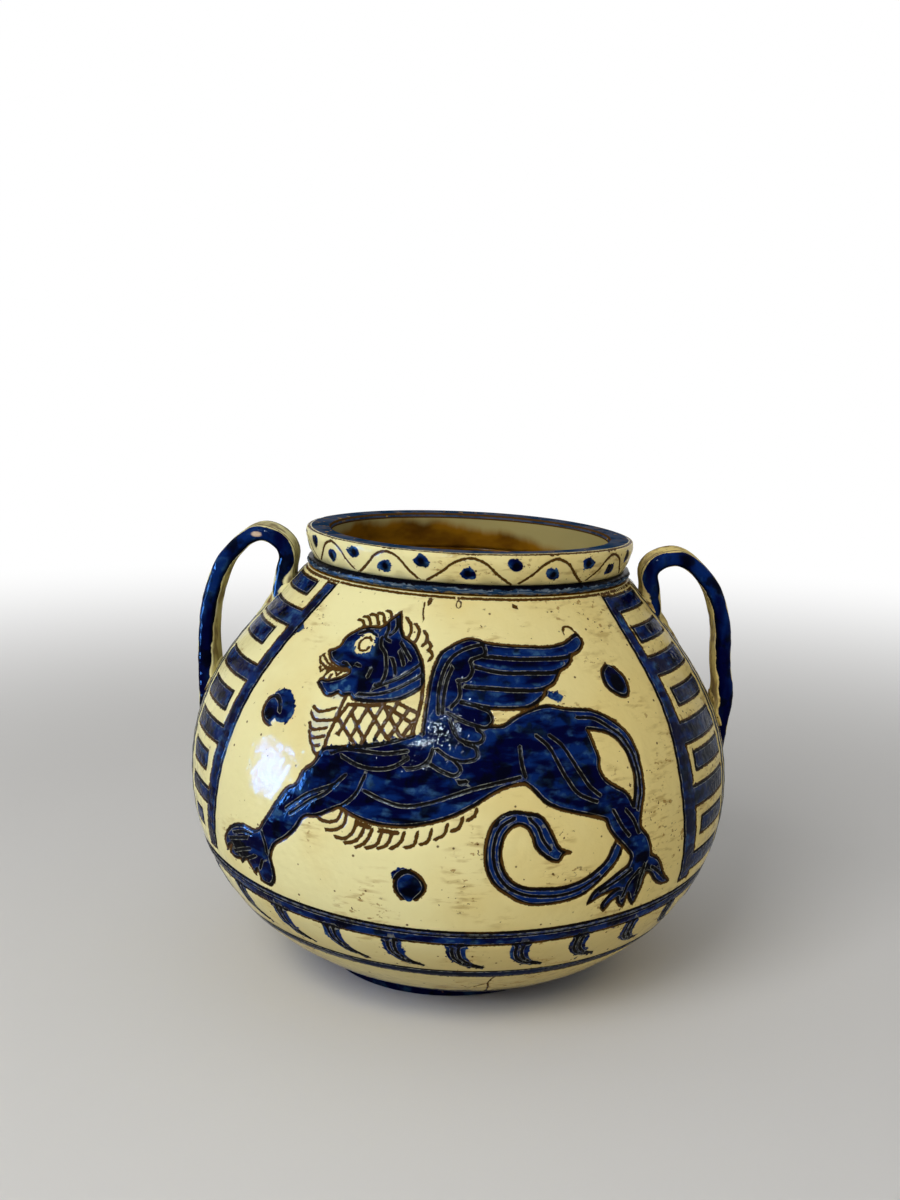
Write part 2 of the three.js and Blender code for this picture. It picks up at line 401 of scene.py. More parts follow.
# %% [markdown]
# ## The winged lion
# A striding winged lion, the old beast of crests and carpets, fills the painted side. Its outlines are
# written as short runs of points, in millimetres across the belly from the middle of the panel and
# millimetres of height. Runs that meet are joined to make the patches that are filled with blue.

# %% Edges of the lion
CROWN = [(-78.5, 164.7), (-75, 166), (-72.9, 167.6), (-72.1, 170.4), (-68.2, 173.2), (-65, 174.7),
         (-59.7, 175.7), (-50, 177.2), (-48.5, 178.9), (-46, 180.4), (-42.4, 182.6), (-40.6, 179.1),
         (-38.5, 176.2), (-36, 174)]
NAPE = [(-36, 174), (-32, 172.9), (-28, 171.2), (-24.4, 168.5), (-21.8, 165.6), (-20, 162), (-19.1, 158.5)]
NECK_BACK = [(-19.1, 158.5), (-18.5, 154.4), (-18.5, 149.7), (-19.4, 145), (-20.3, 139.7)]
NECK_BAND = [(-20, 156.2), (-24.4, 153.8), (-30.3, 151.5), (-36.2, 150.3), (-42, 149.7), (-52.6, 149.5)]
BEARD = [(-52.6, 149.5), (-54.6, 151), (-56.8, 150.6), (-59.7, 150.3), (-61.8, 151), (-63.8, 149.7),
         (-67.4, 149.2), (-70.3, 150.3), (-73.5, 152.1)]
LOWER_LIP = [(-73.5, 152.1), (-75.8, 153), (-75, 154), (-70.9, 154.3), (-66.8, 155.2), (-62.6, 156.6),
             (-59.9, 158.4)]
UPPER_LIP = [(-59.9, 158.4), (-61, 160), (-65.6, 160.2), (-70.3, 160.7), (-75, 162.2), (-78.5, 164.7)]

WING_TOP = [(-15.7, 140), (-15.7, 152.9), (-15.4, 160), (-14.3, 165), (-11.4, 169.6), (-6.4, 172.1),
            (3.9, 175), (15, 173.7), (36.4, 172.7), (56.4, 172.6), (63.5, 173.5), (69.3, 175.2),
            (74.8, 176.3)]
FEATHERS = [
    [(74.8, 176.3), (76.3, 173.9), (72.6, 170.8), (66, 169), (43.6, 168), (29.3, 168.2), (12.9, 168.9)],
    [(65, 169.1), (64, 167.5), (60.7, 165.5), (55, 163.8), (36.4, 163.2), (20, 163.4), (7.9, 165)],
    [(55, 163.8), (52.5, 161.8), (49.3, 159.3), (44.3, 157.7), (29.3, 157.1), (15, 157.6), (2.9, 157.9)],
    [(44.3, 157.7), (43.6, 156), (40, 153.6), (33.6, 151.1), (25.7, 150.6), (15, 150.7), (0.7, 152.5)],
]
FEATHER_TIPS = [(76.3, 173.9), (72.6, 170.8), (65, 169.1), (64, 167.5), (60.7, 165.5), (55, 163.8),
                (52.5, 161.8), (49.3, 159.3), (44.3, 157.7), (40, 153.6), (33.6, 151.1), (25.7, 150.6)]
COVERT_TIPS = [(15, 150.7), (16.1, 146.4), (13.6, 143.9), (11.8, 140.7), (8.9, 134.5), (2.1, 127.9),
               (-5, 126.8), (-15.7, 128)]

CHEST = [(-60, 130), (-50, 132), (-35, 134.6), (-25, 137.6), (-19.5, 139.5)]
BACK = [(15, 144.3), (20.7, 144.6), (25.7, 147.1), (31.4, 149.3), (43.6, 151.4), (52.7, 150.2), (65.5, 149.1)]
TAIL_TOP = [(65.5, 149.1), (70.9, 147.3), (76.4, 144.5), (81.8, 140.5), (84.5, 136.8), (86.8, 125),
            (86.8, 116.8), (84.1, 105.9)]
TAIL_UNDER = [(61.4, 142.3), (67.3, 141.4), (75.5, 138.2), (79.1, 134.1), (81.4, 128.6), (82.3, 121.4),
              (80.5, 110.5)]
RUMP = [(80.5, 110.5), (76.4, 116.8), (70.9, 120), (65.9, 123.6), (64.1, 127.7), (64.5, 131.4),
        (63.2, 136.8), (61.4, 142.3)]
SHIN = [(84.1, 105.9), (84.5, 101.4), (89.1, 95.9), (91.2, 91), (91.8, 87.7)]
HIND_PAW = [(91.8, 87.7), (97.3, 84.5), (100.9, 79.5), (104.5, 75), (110, 70.5), (104.1, 70.9), (98.2, 74.1),
            (93.6, 78.6), (90.9, 80), (90, 75), (88.8, 68.5), (87.7, 64.5), (84.5, 67.7), (82.2, 71.6),
            (81.6, 64.6), (78.4, 66.9), (76.4, 70.5), (73.4, 68.6), (70.9, 64.8), (69.1, 66.8), (70.9, 71.4),
            (75.5, 75), (67.3, 73.2), (61.2, 69.6), (62.3, 74.1), (68.2, 78.6), (74.5, 82.7), (79.1, 85)]
HOCK = [(79.1, 85), (80, 88.6), (76.4, 93.2), (70.9, 98.6), (67.3, 103.2), (65.9, 106.8)]
THIGH = [(65.9, 106.8), (57.3, 109.5), (50, 111.4), (43.6, 113.2), (38.2, 115.9), (32.7, 121), (29.1, 123.5)]
BELLY_LINE = [(29.1, 123.5), (20.9, 121.8), (14.5, 118.6), (7.3, 114.1), (-1.8, 109.5), (-10.9, 106.4),
              (-20, 104.5), (-27.1, 104.1), (-34.3, 104.6), (-41.4, 106.1), (-47.9, 108.6)]
FORELEG_UNDER = [(-47.9, 108.6), (-52.1, 106.4), (-57.9, 103.2), (-63.6, 101.8), (-68.6, 95), (-72.9, 90.7),
                 (-80, 85), (-82.3, 80), (-81.8, 73.6), (-82, 69), (-85.7, 64.6)]
FORE_PAW = [(-85.7, 64.6), (-92.1, 65), (-91.6, 67.5), (-92.9, 70.7), (-95.4, 67), (-97.2, 70.5),
            (-100, 72.9), (-104.6, 70), (-104.4, 72.2), (-109.3, 71), (-113.8, 71.8), (-110, 77.1),
            (-112.9, 75.7), (-116.2, 72.4), (-116.1, 77.9), (-112.1, 82.9), (-108.6, 85.7), (-100, 88.9),
            (-92, 88.5)]
FORELEG_TOP = [(-92, 88.5), (-89.3, 90), (-86.4, 93.6), (-79.3, 104.3), (-74.3, 111.4), (-70, 114),
               (-67.9, 119.3), (-62.9, 124.3), (-60, 130)]

CURL_OUTER = [(74.5, 93.5), (71.8, 87.7), (66.4, 82.3), (59.1, 75.9), (50.9, 73.2), (41.8, 72.3),
              (33.6, 72.7), (23.6, 77.7), (18.2, 82.3), (15, 87.7), (13.6, 95), (14.1, 101.4), (16.4, 107.7),
              (24.5, 112.3), (30, 111.8), (35.5, 110.5), (39.1, 106.4), (41.8, 101.4), (44.5, 96.8),
              (49.6, 94.6)]
CURL_TIP = [(49.6, 94.6), (46.4, 94), (44.4, 91.4), (41.8, 91.8)]
CURL_INNER = [(41.8, 91.8), (38.2, 94.1), (34.5, 97.7), (32.7, 102.3), (30, 106.4), (26.5, 107.4),
              (21.8, 104.1), (20, 99.5), (20, 93.2), (21.8, 87.7), (25.5, 83.2), (30.9, 80.5), (39.1, 79.5),
              (48.2, 79.5), (60.9, 84.1), (66.4, 88.6), (70.9, 96.8)]

HEAD_PATCH = CROWN + NAPE[1:] + NECK_BAND + BEARD[1:] + LOWER_LIP[1:] + UPPER_LIP[1:-1]
WING_PATCH = WING_TOP + FEATHER_TIPS + COVERT_TIPS
BODY_PATCH = (CHEST + BACK + TAIL_TOP[1:] + SHIN[1:] + HIND_PAW[1:] + HOCK[1:] + THIGH[1:] + BELLY_LINE[1:]
              + FORELEG_UNDER[1:] + FORE_PAW[1:] + FORELEG_TOP[1:-1])
CURL_PATCH = CURL_OUTER + CURL_TIP[1:] + CURL_INNER[1:]
TAIL_WINDOW = TAIL_UNDER + RUMP[1:-1]
LION_OUTLINES = [CROWN, NAPE, NECK_BACK, NECK_BAND, BEARD, LOWER_LIP, UPPER_LIP, WING_TOP, *FEATHERS,
                 CHEST, BACK, TAIL_TOP, TAIL_UNDER, RUMP, SHIN, HIND_PAW, HOCK, THIGH, BELLY_LINE,
                 FORELEG_UNDER, FORE_PAW, FORELEG_TOP, CURL_OUTER, CURL_TIP, CURL_INNER]
print("lion:", len(LION_OUTLINES), "outlines of", sum(map(len, LION_OUTLINES)), "points")

# %% [markdown]
# ## Strokes inside the lion
# Inside the outlines the decorator went on cutting: bands on the neck, rows of feathers, muscles, toes.
# On the bare cream there are strokes alone, for the mane, the chest, the belly hair and the latticed
# breast. They are thinner than the outlines, and each is a run of a few points.

# %% Strokes of the lion
HEAD_STROKES = [
    [(-80.3, 162.6), (-77.4, 161.3), (-74.4, 160.2), (-70.3, 159.5), (-65.6, 159.2), (-61, 159.6)],
    [(-80.3, 163.4), (-82.2, 161.9), (-80.6, 160.4), (-77.9, 159.5), (-73.8, 158.9), (-68.5, 158.6),
     (-62.4, 158.9)],
    [(-79, 158.4), (-77, 156.8), (-75.3, 158.7)],
    [(-74.1, 158.5), (-72.6, 156.9), (-70.8, 158.4)],
    [(-68.4, 158.3), (-66.4, 156.7), (-64.4, 158.5)],
    [(-74, 155.2), (-73, 156.6)],
    [(-70, 155.4), (-69.4, 156.8)],
    [(-64, 172.9), (-59, 174.3), (-53, 173.1)],
    [(-49.1, 172.6), (-47.4, 169.4), (-43.8, 167.4), (-41.5, 164.4), (-40, 160.9), (-40.9, 156.6),
     (-43.8, 155.6)],
    [(-48.5, 178.6), (-46.6, 175.6), (-46.8, 172.8), (-43, 171.6)],
    [(-43.4, 180.2), (-41.6, 176.2), (-44.4, 173.8)],
    [(-38.5, 165.6), (-36.2, 163.2), (-34.7, 160.6)],
    [(-36.2, 171.5), (-32.6, 169.1), (-28.5, 166.2)],
    [(-35.6, 168.5), (-32.6, 165.6), (-31.2, 163.8)],
    [(-43.8, 154.4), (-39.1, 156.2), (-33.2, 158.5), (-27.4, 161.5), (-22.6, 164.4)],
    [(-50.9, 151.5), (-43.8, 152), (-37.9, 153.2), (-31.5, 155.3), (-25.6, 158.2), (-20.9, 160.6)],
    [(-66.4, 161.6), (-63.6, 161.3)], [(-58, 161.9), (-55.6, 161.5)], [(-48.4, 161), (-48.9, 158)],
]
MANE_STROKES = [
    [(-70.3, 177.6), (-66.8, 177.5), (-63.2, 175.6)],
    [(-67.4, 179.1), (-63.8, 179), (-59.7, 176.5)],
    [(-63.2, 180.3), (-59.1, 180.2), (-54.4, 177.1)],
    [(-58.2, 181.2), (-54.4, 180.9), (-51.2, 178.2)],
    [(-52.6, 182.4), (-50, 182.2), (-47.6, 180.4)],
    [(-37.5, 180.8), (-33.5, 178.3), (-32.2, 175.7), (-32.9, 174)],
    [(-30.8, 179), (-27.5, 177), (-27.2, 174.2), (-28.6, 172.4)],
    [(-24.1, 176.7), (-21.5, 174.6), (-21.8, 172.6), (-23.6, 171.4)],
    [(-20.3, 173), (-18.2, 171.6), (-19.6, 169.8)],
    [(-18.2, 169.8), (-16.6, 168.4), (-17.8, 166.6)],
]
BREAST_STROKES = [
    [(-52.9, 147.4), (-47.9, 147.9), (-42, 148.3), (-36.2, 149.2)],
    [(-56.8, 149.7), (-57.9, 144.4), (-58.5, 139.7), (-59.4, 134.4), (-60, 130.3)],
    [(-54.4, 146.8), (-57.9, 140.3)], [(-50.3, 146.8), (-54.4, 136.8)], [(-43.8, 147.4), (-48.5, 135)],
    [(-36.5, 149.1), (-42.6, 134.4)], [(-29.7, 150.3), (-37.1, 136.2)], [(-23.8, 148.5), (-30.9, 137)],
    [(-20.9, 144.4), (-24.6, 138.4)], [(-57.4, 142.1), (-45.6, 133.6)], [(-51.5, 145), (-40.9, 134.6)],
    [(-43.8, 147.4), (-30.9, 137)], [(-35.6, 148.5), (-26, 139)], [(-29.7, 150.4), (-19.9, 147.6)],
    [(-33.8, 148.5), (-21.2, 143.6)],
]
CHEST_STROKES = [
    [(-72.4, 144.4), (-68.5, 142.9), (-63.8, 143.8), (-60, 145.3)],
    [(-72.1, 141.8), (-69.1, 139.7), (-64.4, 140), (-59.4, 140.8)],
    [(-71.2, 138.4), (-69.1, 136.2), (-65, 136.5), (-61.2, 137.6)],
    [(-69.8, 135), (-67.9, 133.2), (-64.4, 133.5), (-61.2, 134.4)],
    [(-68.2, 132.2), (-66.2, 130.3), (-62.6, 130.6)],
    [(-65.4, 129), (-63.2, 127.2), (-61.4, 127.8)],
]
WING_STROKES = [
    [(74.8, 176.3), (71.7, 178.6), (69.5, 179.2), (66.9, 179.1), (65.2, 177.9)],
    [(-9.6, 147.9), (-10.4, 154.3), (-9.6, 161.4), (-7.1, 166.4), (-2.9, 169.6), (3.6, 171.8), (12.1, 173.2)],
    [(-7.6, 147.9), (-7.8, 154.3), (-6.9, 160), (-4.8, 164.3)],
    [(12.1, 173.2), (13.2, 170), (9.3, 168.6), (5, 167.5)],
    [(4.6, 167.1), (6.1, 164.3), (3.6, 160.7), (-1.4, 160)],
    [(-0.7, 158.9), (0, 154.3), (-3.6, 150.7)],
    [(-5, 148.2), (0.7, 146.1), (7.9, 144.3), (13.6, 143.9), (16.1, 146.4), (15, 148.8), (9.3, 150.9)],
    [(-3.6, 145), (0.7, 139.3), (6.4, 137.9), (10.7, 138.6), (11.8, 140.7), (8.6, 143)],
    [(-8.6, 135), (-2.9, 132.1), (5, 131.4), (8.9, 132.9), (8.6, 135.7), (3.6, 137.7)],
    [(-10.7, 129.3), (-5, 126.8), (0.7, 126.1), (2.1, 127.9), (0, 130.6)],
    [(-20.7, 126.8), (-15.7, 127.9), (-11.4, 131.4), (-10.4, 135)],
]
BODY_STROKES = [
    [(-55.7, 128.6), (-51.4, 130.6), (-41.4, 131.4), (-30.7, 131.6), (-21.4, 133.4)],
    [(-50, 128.2), (-41.4, 125.7), (-34.3, 125.4), (-27.1, 126.8), (-20.7, 130.7)],
    [(-37.1, 116.4), (-30.7, 114.3), (-20, 112.6), (-10.9, 114.5), (-1.8, 117.7), (7.3, 120.9),
     (16.4, 123.2), (27.3, 125.6)],
    [(-47.1, 121.4), (-51.4, 117.1), (-57.1, 114.3), (-62.9, 111.4), (-68.6, 107.1), (-73.6, 102.9)],
    [(-50, 117.9), (-55.7, 112.4), (-61.4, 109), (-67.1, 104.4), (-71.4, 101)],
    [(-38.6, 121.4), (-40.7, 115.7), (-45, 110.7), (-47.9, 108.6)],
    [(27.7, 137), (28.2, 130.5), (29.5, 125.9)],
    [(35.5, 140.9), (40.9, 136.8), (44.5, 130.5), (48.2, 124.1), (52.7, 118.6), (57.3, 116.2), (61.7, 114.6)],
    [(41.8, 140.9), (47.3, 137), (50.9, 131.8), (54.5, 126.3), (58.2, 121), (63.2, 116.9)],
    [(57.3, 146.7), (66.4, 145.7), (73.6, 142.1), (79.1, 138.2), (82.9, 132), (84.5, 124), (84.4, 116),
     (82.6, 109)],
    [(64, 82.6), (54.5, 77.4), (46.4, 75.9), (38.2, 76.1), (29.7, 77.7), (22.8, 81.9), (18.6, 87.8),
     (16.9, 94.2), (17.2, 101), (19.6, 106.6), (25, 110)],
    [(31.2, 109.6), (34.8, 106), (37, 101), (40.6, 96.4)],
    [(-87.1, 89.3), (-85, 85), (-84.4, 80.7)],
    [(-97.1, 83.9), (-102.9, 82.1), (-111, 79.6)], [(-95.6, 79.4), (-102.3, 77), (-108.4, 74.4)],
    [(-93, 76.7), (-98.2, 73.9)], [(-88, 76), (-90.6, 71.4)], [(-94, 86.4), (-100.5, 85.8), (-107, 83.4)],
    [(94.4, 81.2), (99.6, 77.6), (104.6, 73.6)], [(88.6, 84), (87.4, 77), (87.2, 70.4)],
    [(85.4, 82), (80.6, 76), (79.4, 70.6)], [(81, 83), (73.6, 78.8), (66, 75.4)],
    [(83, 99), (80.4, 104.4), (76, 109.6)], [(78, 98.4), (73.4, 103.8), (69.4, 110.2)],
]
BELLY_STROKES = [
    [(-56.8, 102.1), (-52.1, 101.8), (-47.9, 103.6), (-46.8, 106.6)],
    [(-53.6, 98.2), (-49.3, 98.9), (-45, 102.1), (-44.4, 105.8)],
    [(-48.6, 96.1), (-45, 96.1), (-40.7, 100), (-39.8, 104.3)],
    [(-44.3, 94.3), (-40, 95.7), (-36.8, 100), (-36, 103.5)],
    [(-39.6, 93.2), (-35.7, 95.7), (-32.6, 101.7)],
    [(-35, 93.7), (-30.7, 95.7), (-28.6, 101)],
    [(-30, 94.1), (-26.2, 96.4), (-24.4, 101)],
    [(-24.3, 95), (-20.7, 97.9), (-19.4, 101.8)],
    [(-18.6, 95.9), (-15.5, 97.2), (-14, 102.2)],
    [(-12.7, 97.7), (-9.8, 99.3), (-8.4, 104)],
    [(-6.8, 100.5), (-3.4, 102.6), (-2.2, 106.8)],
    [(-0.5, 104.1), (2.5, 105.7), (3.8, 109.5)],
    [(5.9, 108.9), (8.4, 110.5), (9.3, 113.2)],
]
FUR_TIPS = 9
FUR_START = np.array((-61.5, 128.5))
FUR_END = np.array((-26.0, 137.4))
FUR_HEIGHT = 2.6
FUR_PITCH = 2.4
FUR_LEAN = 0.6
TIP_SHARE = 0.35
FACE = (-57.8, 169.4)
EYE_SPAN = (6.2, 3.9)
EYE_TURN = 6
PUPIL_SPAN = (3.7, 2.5)
OUTLINE_WIDTH = 1.8
STROKE_WIDTH = 1.3
BREAST_WIDTH = 1.8
HAIR_WIDTH = 1.6
PETAL_WIDTH = 2.0
OVAL_POINTS = 12


def oval(middle, span, turn=0.0):
    """An oval about a middle, with its longer axis turned by some degrees."""
    angle = np.linspace(0, 2 * math.pi, OVAL_POINTS, endpoint=False)
    way = math.radians(turn)
    long, short = span[0] * np.cos(angle), span[1] * np.sin(angle)
    return np.column_stack([middle[0] + long * math.cos(way) - short * math.sin(way),
                            middle[1] + long * math.sin(way) + short * math.cos(way)])


def fur():
    """Ragged tips of blue hair that stand up over the line of the chest."""
    along = FUR_END - FUR_START
    tips = []
    for i in range(FUR_TIPS):
        start = FUR_START + along * i / FUR_TIPS
        height = FUR_HEIGHT * (0.6 + 0.4 * math.sin(FUR_PITCH * i))
        tips += [start, start + along * TIP_SHARE / FUR_TIPS + (-FUR_LEAN, height)]
    return [*tips, FUR_END, FUR_END - (0, 3), FUR_START - (0, 2)]


FINE_STROKES = HEAD_STROKES + WING_STROKES + BODY_STROKES
HAIR_STROKES = MANE_STROKES + CHEST_STROKES + BELLY_STROKES
print("strokes:", len(FINE_STROKES + HAIR_STROKES + BREAST_STROKES))

# %% [markdown]
# ## The key pattern
# On each side of the panel a key pattern runs down to the band: a bar at the panel's edge carries teeth,
# loose blocks stand between them, and two lines close the row. The bars are written as runs of points,
# and each tooth or block as the two heights between which it stands. Blocks also have their near end.

# %% Edges of the key pattern
KEY_WIDTH = 1.5
RING_WIDTH = 0.9
LEFT_END = [(-154, 67), (-159, 95), (-164, 118), (-172, 139), (-179, 155), (-185, 188.5)]
RIGHT_END = [(160, 67), (163, 121), (164, 135), (168, 145), (172, 158), (175, 167), (173, 188.5)]
RIGHT_BORDER = [(164, 67), (168, 127), (171, 140), (175, 150), (178, 158), (181, 167), (180, 188.5)]
LEFT_BORDER = [(-166, 67), (-172, 127), (-176, 140), (-183, 150), (-187, 158), (-189, 188.5)]
BORDER_STEP = 8.0
BORDER_WIDTH = 4.0
LEFT_EDGE = [(-130, 67), (-124, 90), (-119, 120), (-116, 150), (-112.5, 170), (-106.5, 188.5)]
LEFT_BACK = [(-139, 67), (-132.5, 90), (-128, 120), (-125.5, 150), (-123, 170), (-118, 188.5)]
RIGHT_EDGE = [(120, 67), (115.5, 90), (112, 115), (113.8, 150), (114.5, 188.5)]
RIGHT_BACK = [(129.5, 67), (125, 95), (121.5, 120), (123.2, 150), (124, 188.5)]
LEFT_TEETH = [(88, 95.5), (117, 125), (145, 152), (169, 176)]
LEFT_BLOCKS = [(74, 81.5, -143), (102.5, 111, -137), (131, 139, -132.5), (159.5, 166.5, -135.5),
               (181.5, 187.5, -130)]
RIGHT_TEETH = [(70, 79), (101.5, 111), (129, 138), (156.5, 164), (181.5, 188)]
RIGHT_BLOCKS = [(87, 95.5, 131), (117, 125, 127), (144, 151, 128.5), (169.5, 175.5, 126.5)]


def across_at(line, height):
    """How far across a line lies at a height."""
    return np.interp(height, [z for _, z in line], [x for x, _ in line])


def comb(edge, back, teeth):
    """The outline of a bar with teeth: up along its edge, and down along its back by way of the teeth."""
    outline = [*edge, back[-1]]
    for low, high, tip in sorted(teeth, reverse=True):
        outline += [(across_at(back, high), high), (tip, high), (tip, low), (across_at(back, low), low)]
    return [*outline, back[0]]


def key_pattern(edge, back, end, teeth, blocks):
    """One side of the panel: a bar with teeth along its edge, and loose blocks between the teeth."""
    tips = [(low, high, across_at(end, high)) for low, high in teeth]
    loose = [[(tip, low), (tip, high), (across_at(end, high), high), (across_at(end, low), low)]
             for low, high, tip in blocks]
    return [comb(edge, back, tips), *loose]


def border_lines(border, side):
    """The outlines of the two lines that close a key pattern; side is -1 on the left and 1 on the right."""
    lines = []
    for offset in (0, BORDER_STEP):
        near = [(x + side * offset, z) for x, z in border]
        lines.append(near + [(x + side * BORDER_WIDTH, z) for x, z in reversed(near)])
    return lines


KEYS = (key_pattern(LEFT_EDGE, LEFT_BACK, LEFT_END, LEFT_TEETH, LEFT_BLOCKS)
        + key_pattern(RIGHT_EDGE, RIGHT_BACK, RIGHT_END, RIGHT_TEETH, RIGHT_BLOCKS))
BORDERS = border_lines(LEFT_BORDER, -1) + border_lines(RIGHT_BORDER, 1)
print("key patterns:", len(KEYS), "outlines and", len(BORDERS), "closing lines")

# %% [markdown]
# ## The painted panel
# The panel holds the lion, three loose petals and the key patterns. Some blue ran out past the cuts, some
# lies so thick that it is near black, and some is only brush water. The far side is not in the picture.
# Such vases repeat their panel there, so it is drawn again, mirrored.

# %% Fill the panels
HALF_TURN = math.pi * BELLY[0]
BODY_GRID = 2.5
SEAM_ACROSS = -1.5 * HALF_TURN
BAND_TOP = 58.5
BAND_FOOT = 51.5
BAND_SAG = 7.0
LEVEL_ABOVE = 150.0
SAG_FADE = 91.5
PANEL_EDGE = 115.0
LEFT_PETAL = [(-93.6, 133.2), (-98.6, 134.6), (-102, 138.4), (-101.4, 142), (-98, 144.2), (-93, 142.8),
              (-90.7, 139.4)]
RIGHT_PETAL = [(86.4, 164.6), (81, 161.8), (80, 158.2), (84.6, 153.6), (91.6, 152.6), (95, 158), (91.2, 163)]
LOW_PETAL = [(-19.2, 72.9), (-22.3, 77.4), (-22, 82.6), (-17.4, 86.2), (-12, 83.8), (-10.1, 79.4),
             (-13.9, 73.4)]
LOW_BLOT = [(-24.6, 83.6), (-22.4, 86.6), (-15.9, 87.2), (-18.9, 84), (-22.8, 81.4)]
POOLS = [((-96.6, 137), (4, 3)), ((88, 157.2), (5, 4)), ((-16.7, 76.6), (4, 3.2)), ((47, 94), (2.6, 3.4)),
         ((14, 147), (3, 2.4)), ((-73.8, 163.9), (3, 1.8)), ((-60, 161.4), (4, 1.6)), ((89, 78), (6, 7)),
         ((-104, 77), (8, 5)), ((62, 110.4), (7, 2.4)), ((-14, 106.6), (14, 1.8)), ((-20, 150), (1.6, 6))]
BLOT = [(-98.6, 145.4), (-96, 147.4), (-89.5, 147.6), (-83.1, 143.4), (-81.5, 138.4), (-84.6, 135.6),
        (-90, 135.2)]
JAW_WASH = [(-71.5, 152), (-65.3, 153.7), (-59.4, 156.5), (-53.5, 157), (-53.4, 151.7), (-67.2, 149)]
NECK_WASH = [(-53.4, 151.7), (-44, 153), (-33.8, 156.6), (-22, 162.3), (-20.1, 155.6), (-29.3, 152),
             (-50, 149)]
CHEST_WASH = [(-71, 144), (-61, 144), (-61.4, 130), (-66, 129), (-70, 134)]
SPUR = [(-112, 172.6), (-106.2, 170), (-110.4, 167.4), (-114, 168)]
WATERY_EDGES = [*FEATHERS, BELLY_LINE, THIGH]
WATERY_DEPTH = 2.4
BLEMISHES = [[(75.6, 145), (78.6, 143.8)], [(2.4, 123.2), (4.6, 123.5)], [(15.9, 106.9), (17.6, 107.7)],
             [(-39.4, 103.4), (-34, 102.4)], [(-29.4, 101.9), (-22, 101.6)]]
BLEMISH_WIDTH = 2.0
PETALS = (LEFT_PETAL, RIGHT_PETAL, LOW_PETAL)
WATERY_STRIPS = [edge + [(x, z + WATERY_DEPTH) for x, z in reversed(edge)] for edge in WATERY_EDGES]
PATCHES = {
    "blue": [HEAD_PATCH, WING_PATCH, BODY_PATCH, CURL_PATCH, fur(), *PETALS, BLOT, LOW_BLOT, SPUR],
    "pool": [oval(*pool) for pool in POOLS],
    "bare": [TAIL_WINDOW, oval(FACE, EYE_SPAN, EYE_TURN)],
    "wash": [CHEST_WASH, JAW_WASH, NECK_WASH, CURL_PATCH, *WATERY_STRIPS],
}
CUTS = [(OUTLINE_WIDTH, LION_OUTLINES), (STROKE_WIDTH, FINE_STROKES), (HAIR_WIDTH, HAIR_STROKES),
        (BREAST_WIDTH, BREAST_STROKES), (BLEMISH_WIDTH, BLEMISHES), (PETAL_WIDTH, PETALS),
        (STROKE_WIDTH, [oval(FACE, PUPIL_SPAN, EYE_TURN)[1:]])]


def on_wall(across, height):
    """Spots on the unrolled wall, from millimetres across and heights."""
    return np.column_stack([across, body_wall.run_at(height)])


def sagged(across, height, sag):
    """Heights of a line round the wall that is lowest at the front and rises to both sides."""
    return height + sag * np.sin(across / BELLY[0]) ** 2


def level(across, height):
    """Heights of the key pattern, which follows the band low down and is level high up."""
    share = np.clip((LEVEL_ABOVE - height) / SAG_FADE, 0, 1)
    rise = np.sin(across / BELLY[0]) ** 2 - math.sin(PANEL_EDGE / BELLY[0]) ** 2
    return height + BAND_SAG * share * rise


def panel(drawing, middle, mirror):
    """Draws the whole panel about a middle across the wall; mirror is -1 for a mirrored one."""

    def placed(points):
        across, height = np.array(points, float).T
        return on_wall(middle + mirror * across, height)

    for layer, patches in PATCHES.items():
        for patch in patches:
            drawing.fill(layer, placed(patch))
    for width, lines in CUTS:
        for line in lines:
            drawing.cut(placed(line), width)
    for outline in KEYS:
        across, height = np.array(outline, float).T
        key = on_wall(middle + mirror * across, level(across, height))
        drawing.fill("blue", key, LONG_STEP, SQUARE_CORNER)
        drawing.cut(key, KEY_WIDTH, True, LONG_STEP, SQUARE_CORNER)
    for outline in BORDERS:
        for layer in ("blue", "pool"):
            drawing.fill(layer, placed(outline), LONG_STEP, SQUARE_CORNER)
        drawing.cut(placed(outline), RING_WIDTH, True, LONG_STEP, SQUARE_CORNER)


body_drawing = Drawing(body_wall, BELLY[0], SEAM_ACROSS, BODY_GRID)
panel(body_drawing, 0.0, 1)
panel(body_drawing, -HALF_TURN, -1)
print("panels:", len(body_drawing.cuts), "cut lines")

# %% [markdown]
# ## Band, crescents and rings
# Under the panels a dark band goes round, and a row of crescents hangs from it like a fringe. A thin
# blue ring closes the decoration above the foot. They repeat all the way, so a loop draws them from
# one crescent and a few heights.

# %% Draw the lower rings
CRESCENTS = 27
CRESCENT_MIDDLE = 3.9
CRESCENT_OUTER = [(-4.2, 52), (-4.6, 47), (-2.6, 42.4), (3, 38.6), (16, 35.8)]
CRESCENT_INNER = [(16, 37), (9.6, 39.8), (6.4, 43), (5, 47.4), (5.4, 52)]
CRESCENT_CUTS = [[(-1.4, 52), (-1.6, 47), (0.2, 42.6), (4.8, 39.4), (12, 37)],
                 [(1.8, 52), (1.4, 47.4), (2.8, 43.4), (6.8, 40.2), (15, 37)]]
RING_HEIGHTS = (29.6, 33.8)
CRESCENT_WIDTH = 1.3
SERRATION_HEIGHT = 189.6
SERRATION_WIDTH = 1.4
RING_SAG = 4.2
SEAM_LAP = 12.0
ROUND_POINTS = 77
BASE_PAINT = 12.5
BAND_LINE = 2.2


def round_wall(height, sag):
    """A line round the whole body at a height, and a little past the seam at both ends."""
    across = np.linspace(SEAM_ACROSS - SEAM_LAP, SEAM_ACROSS + 2 * HALF_TURN + SEAM_LAP, ROUND_POINTS)
    return on_wall(across, sagged(across, height, sag))


def hung(edge, middle):
    """An edge that hangs from the band at some middle, as spots on the wall."""
    across, height = np.array(edge).T
    return on_wall(across + middle, sagged(across + middle, height, BAND_SAG))


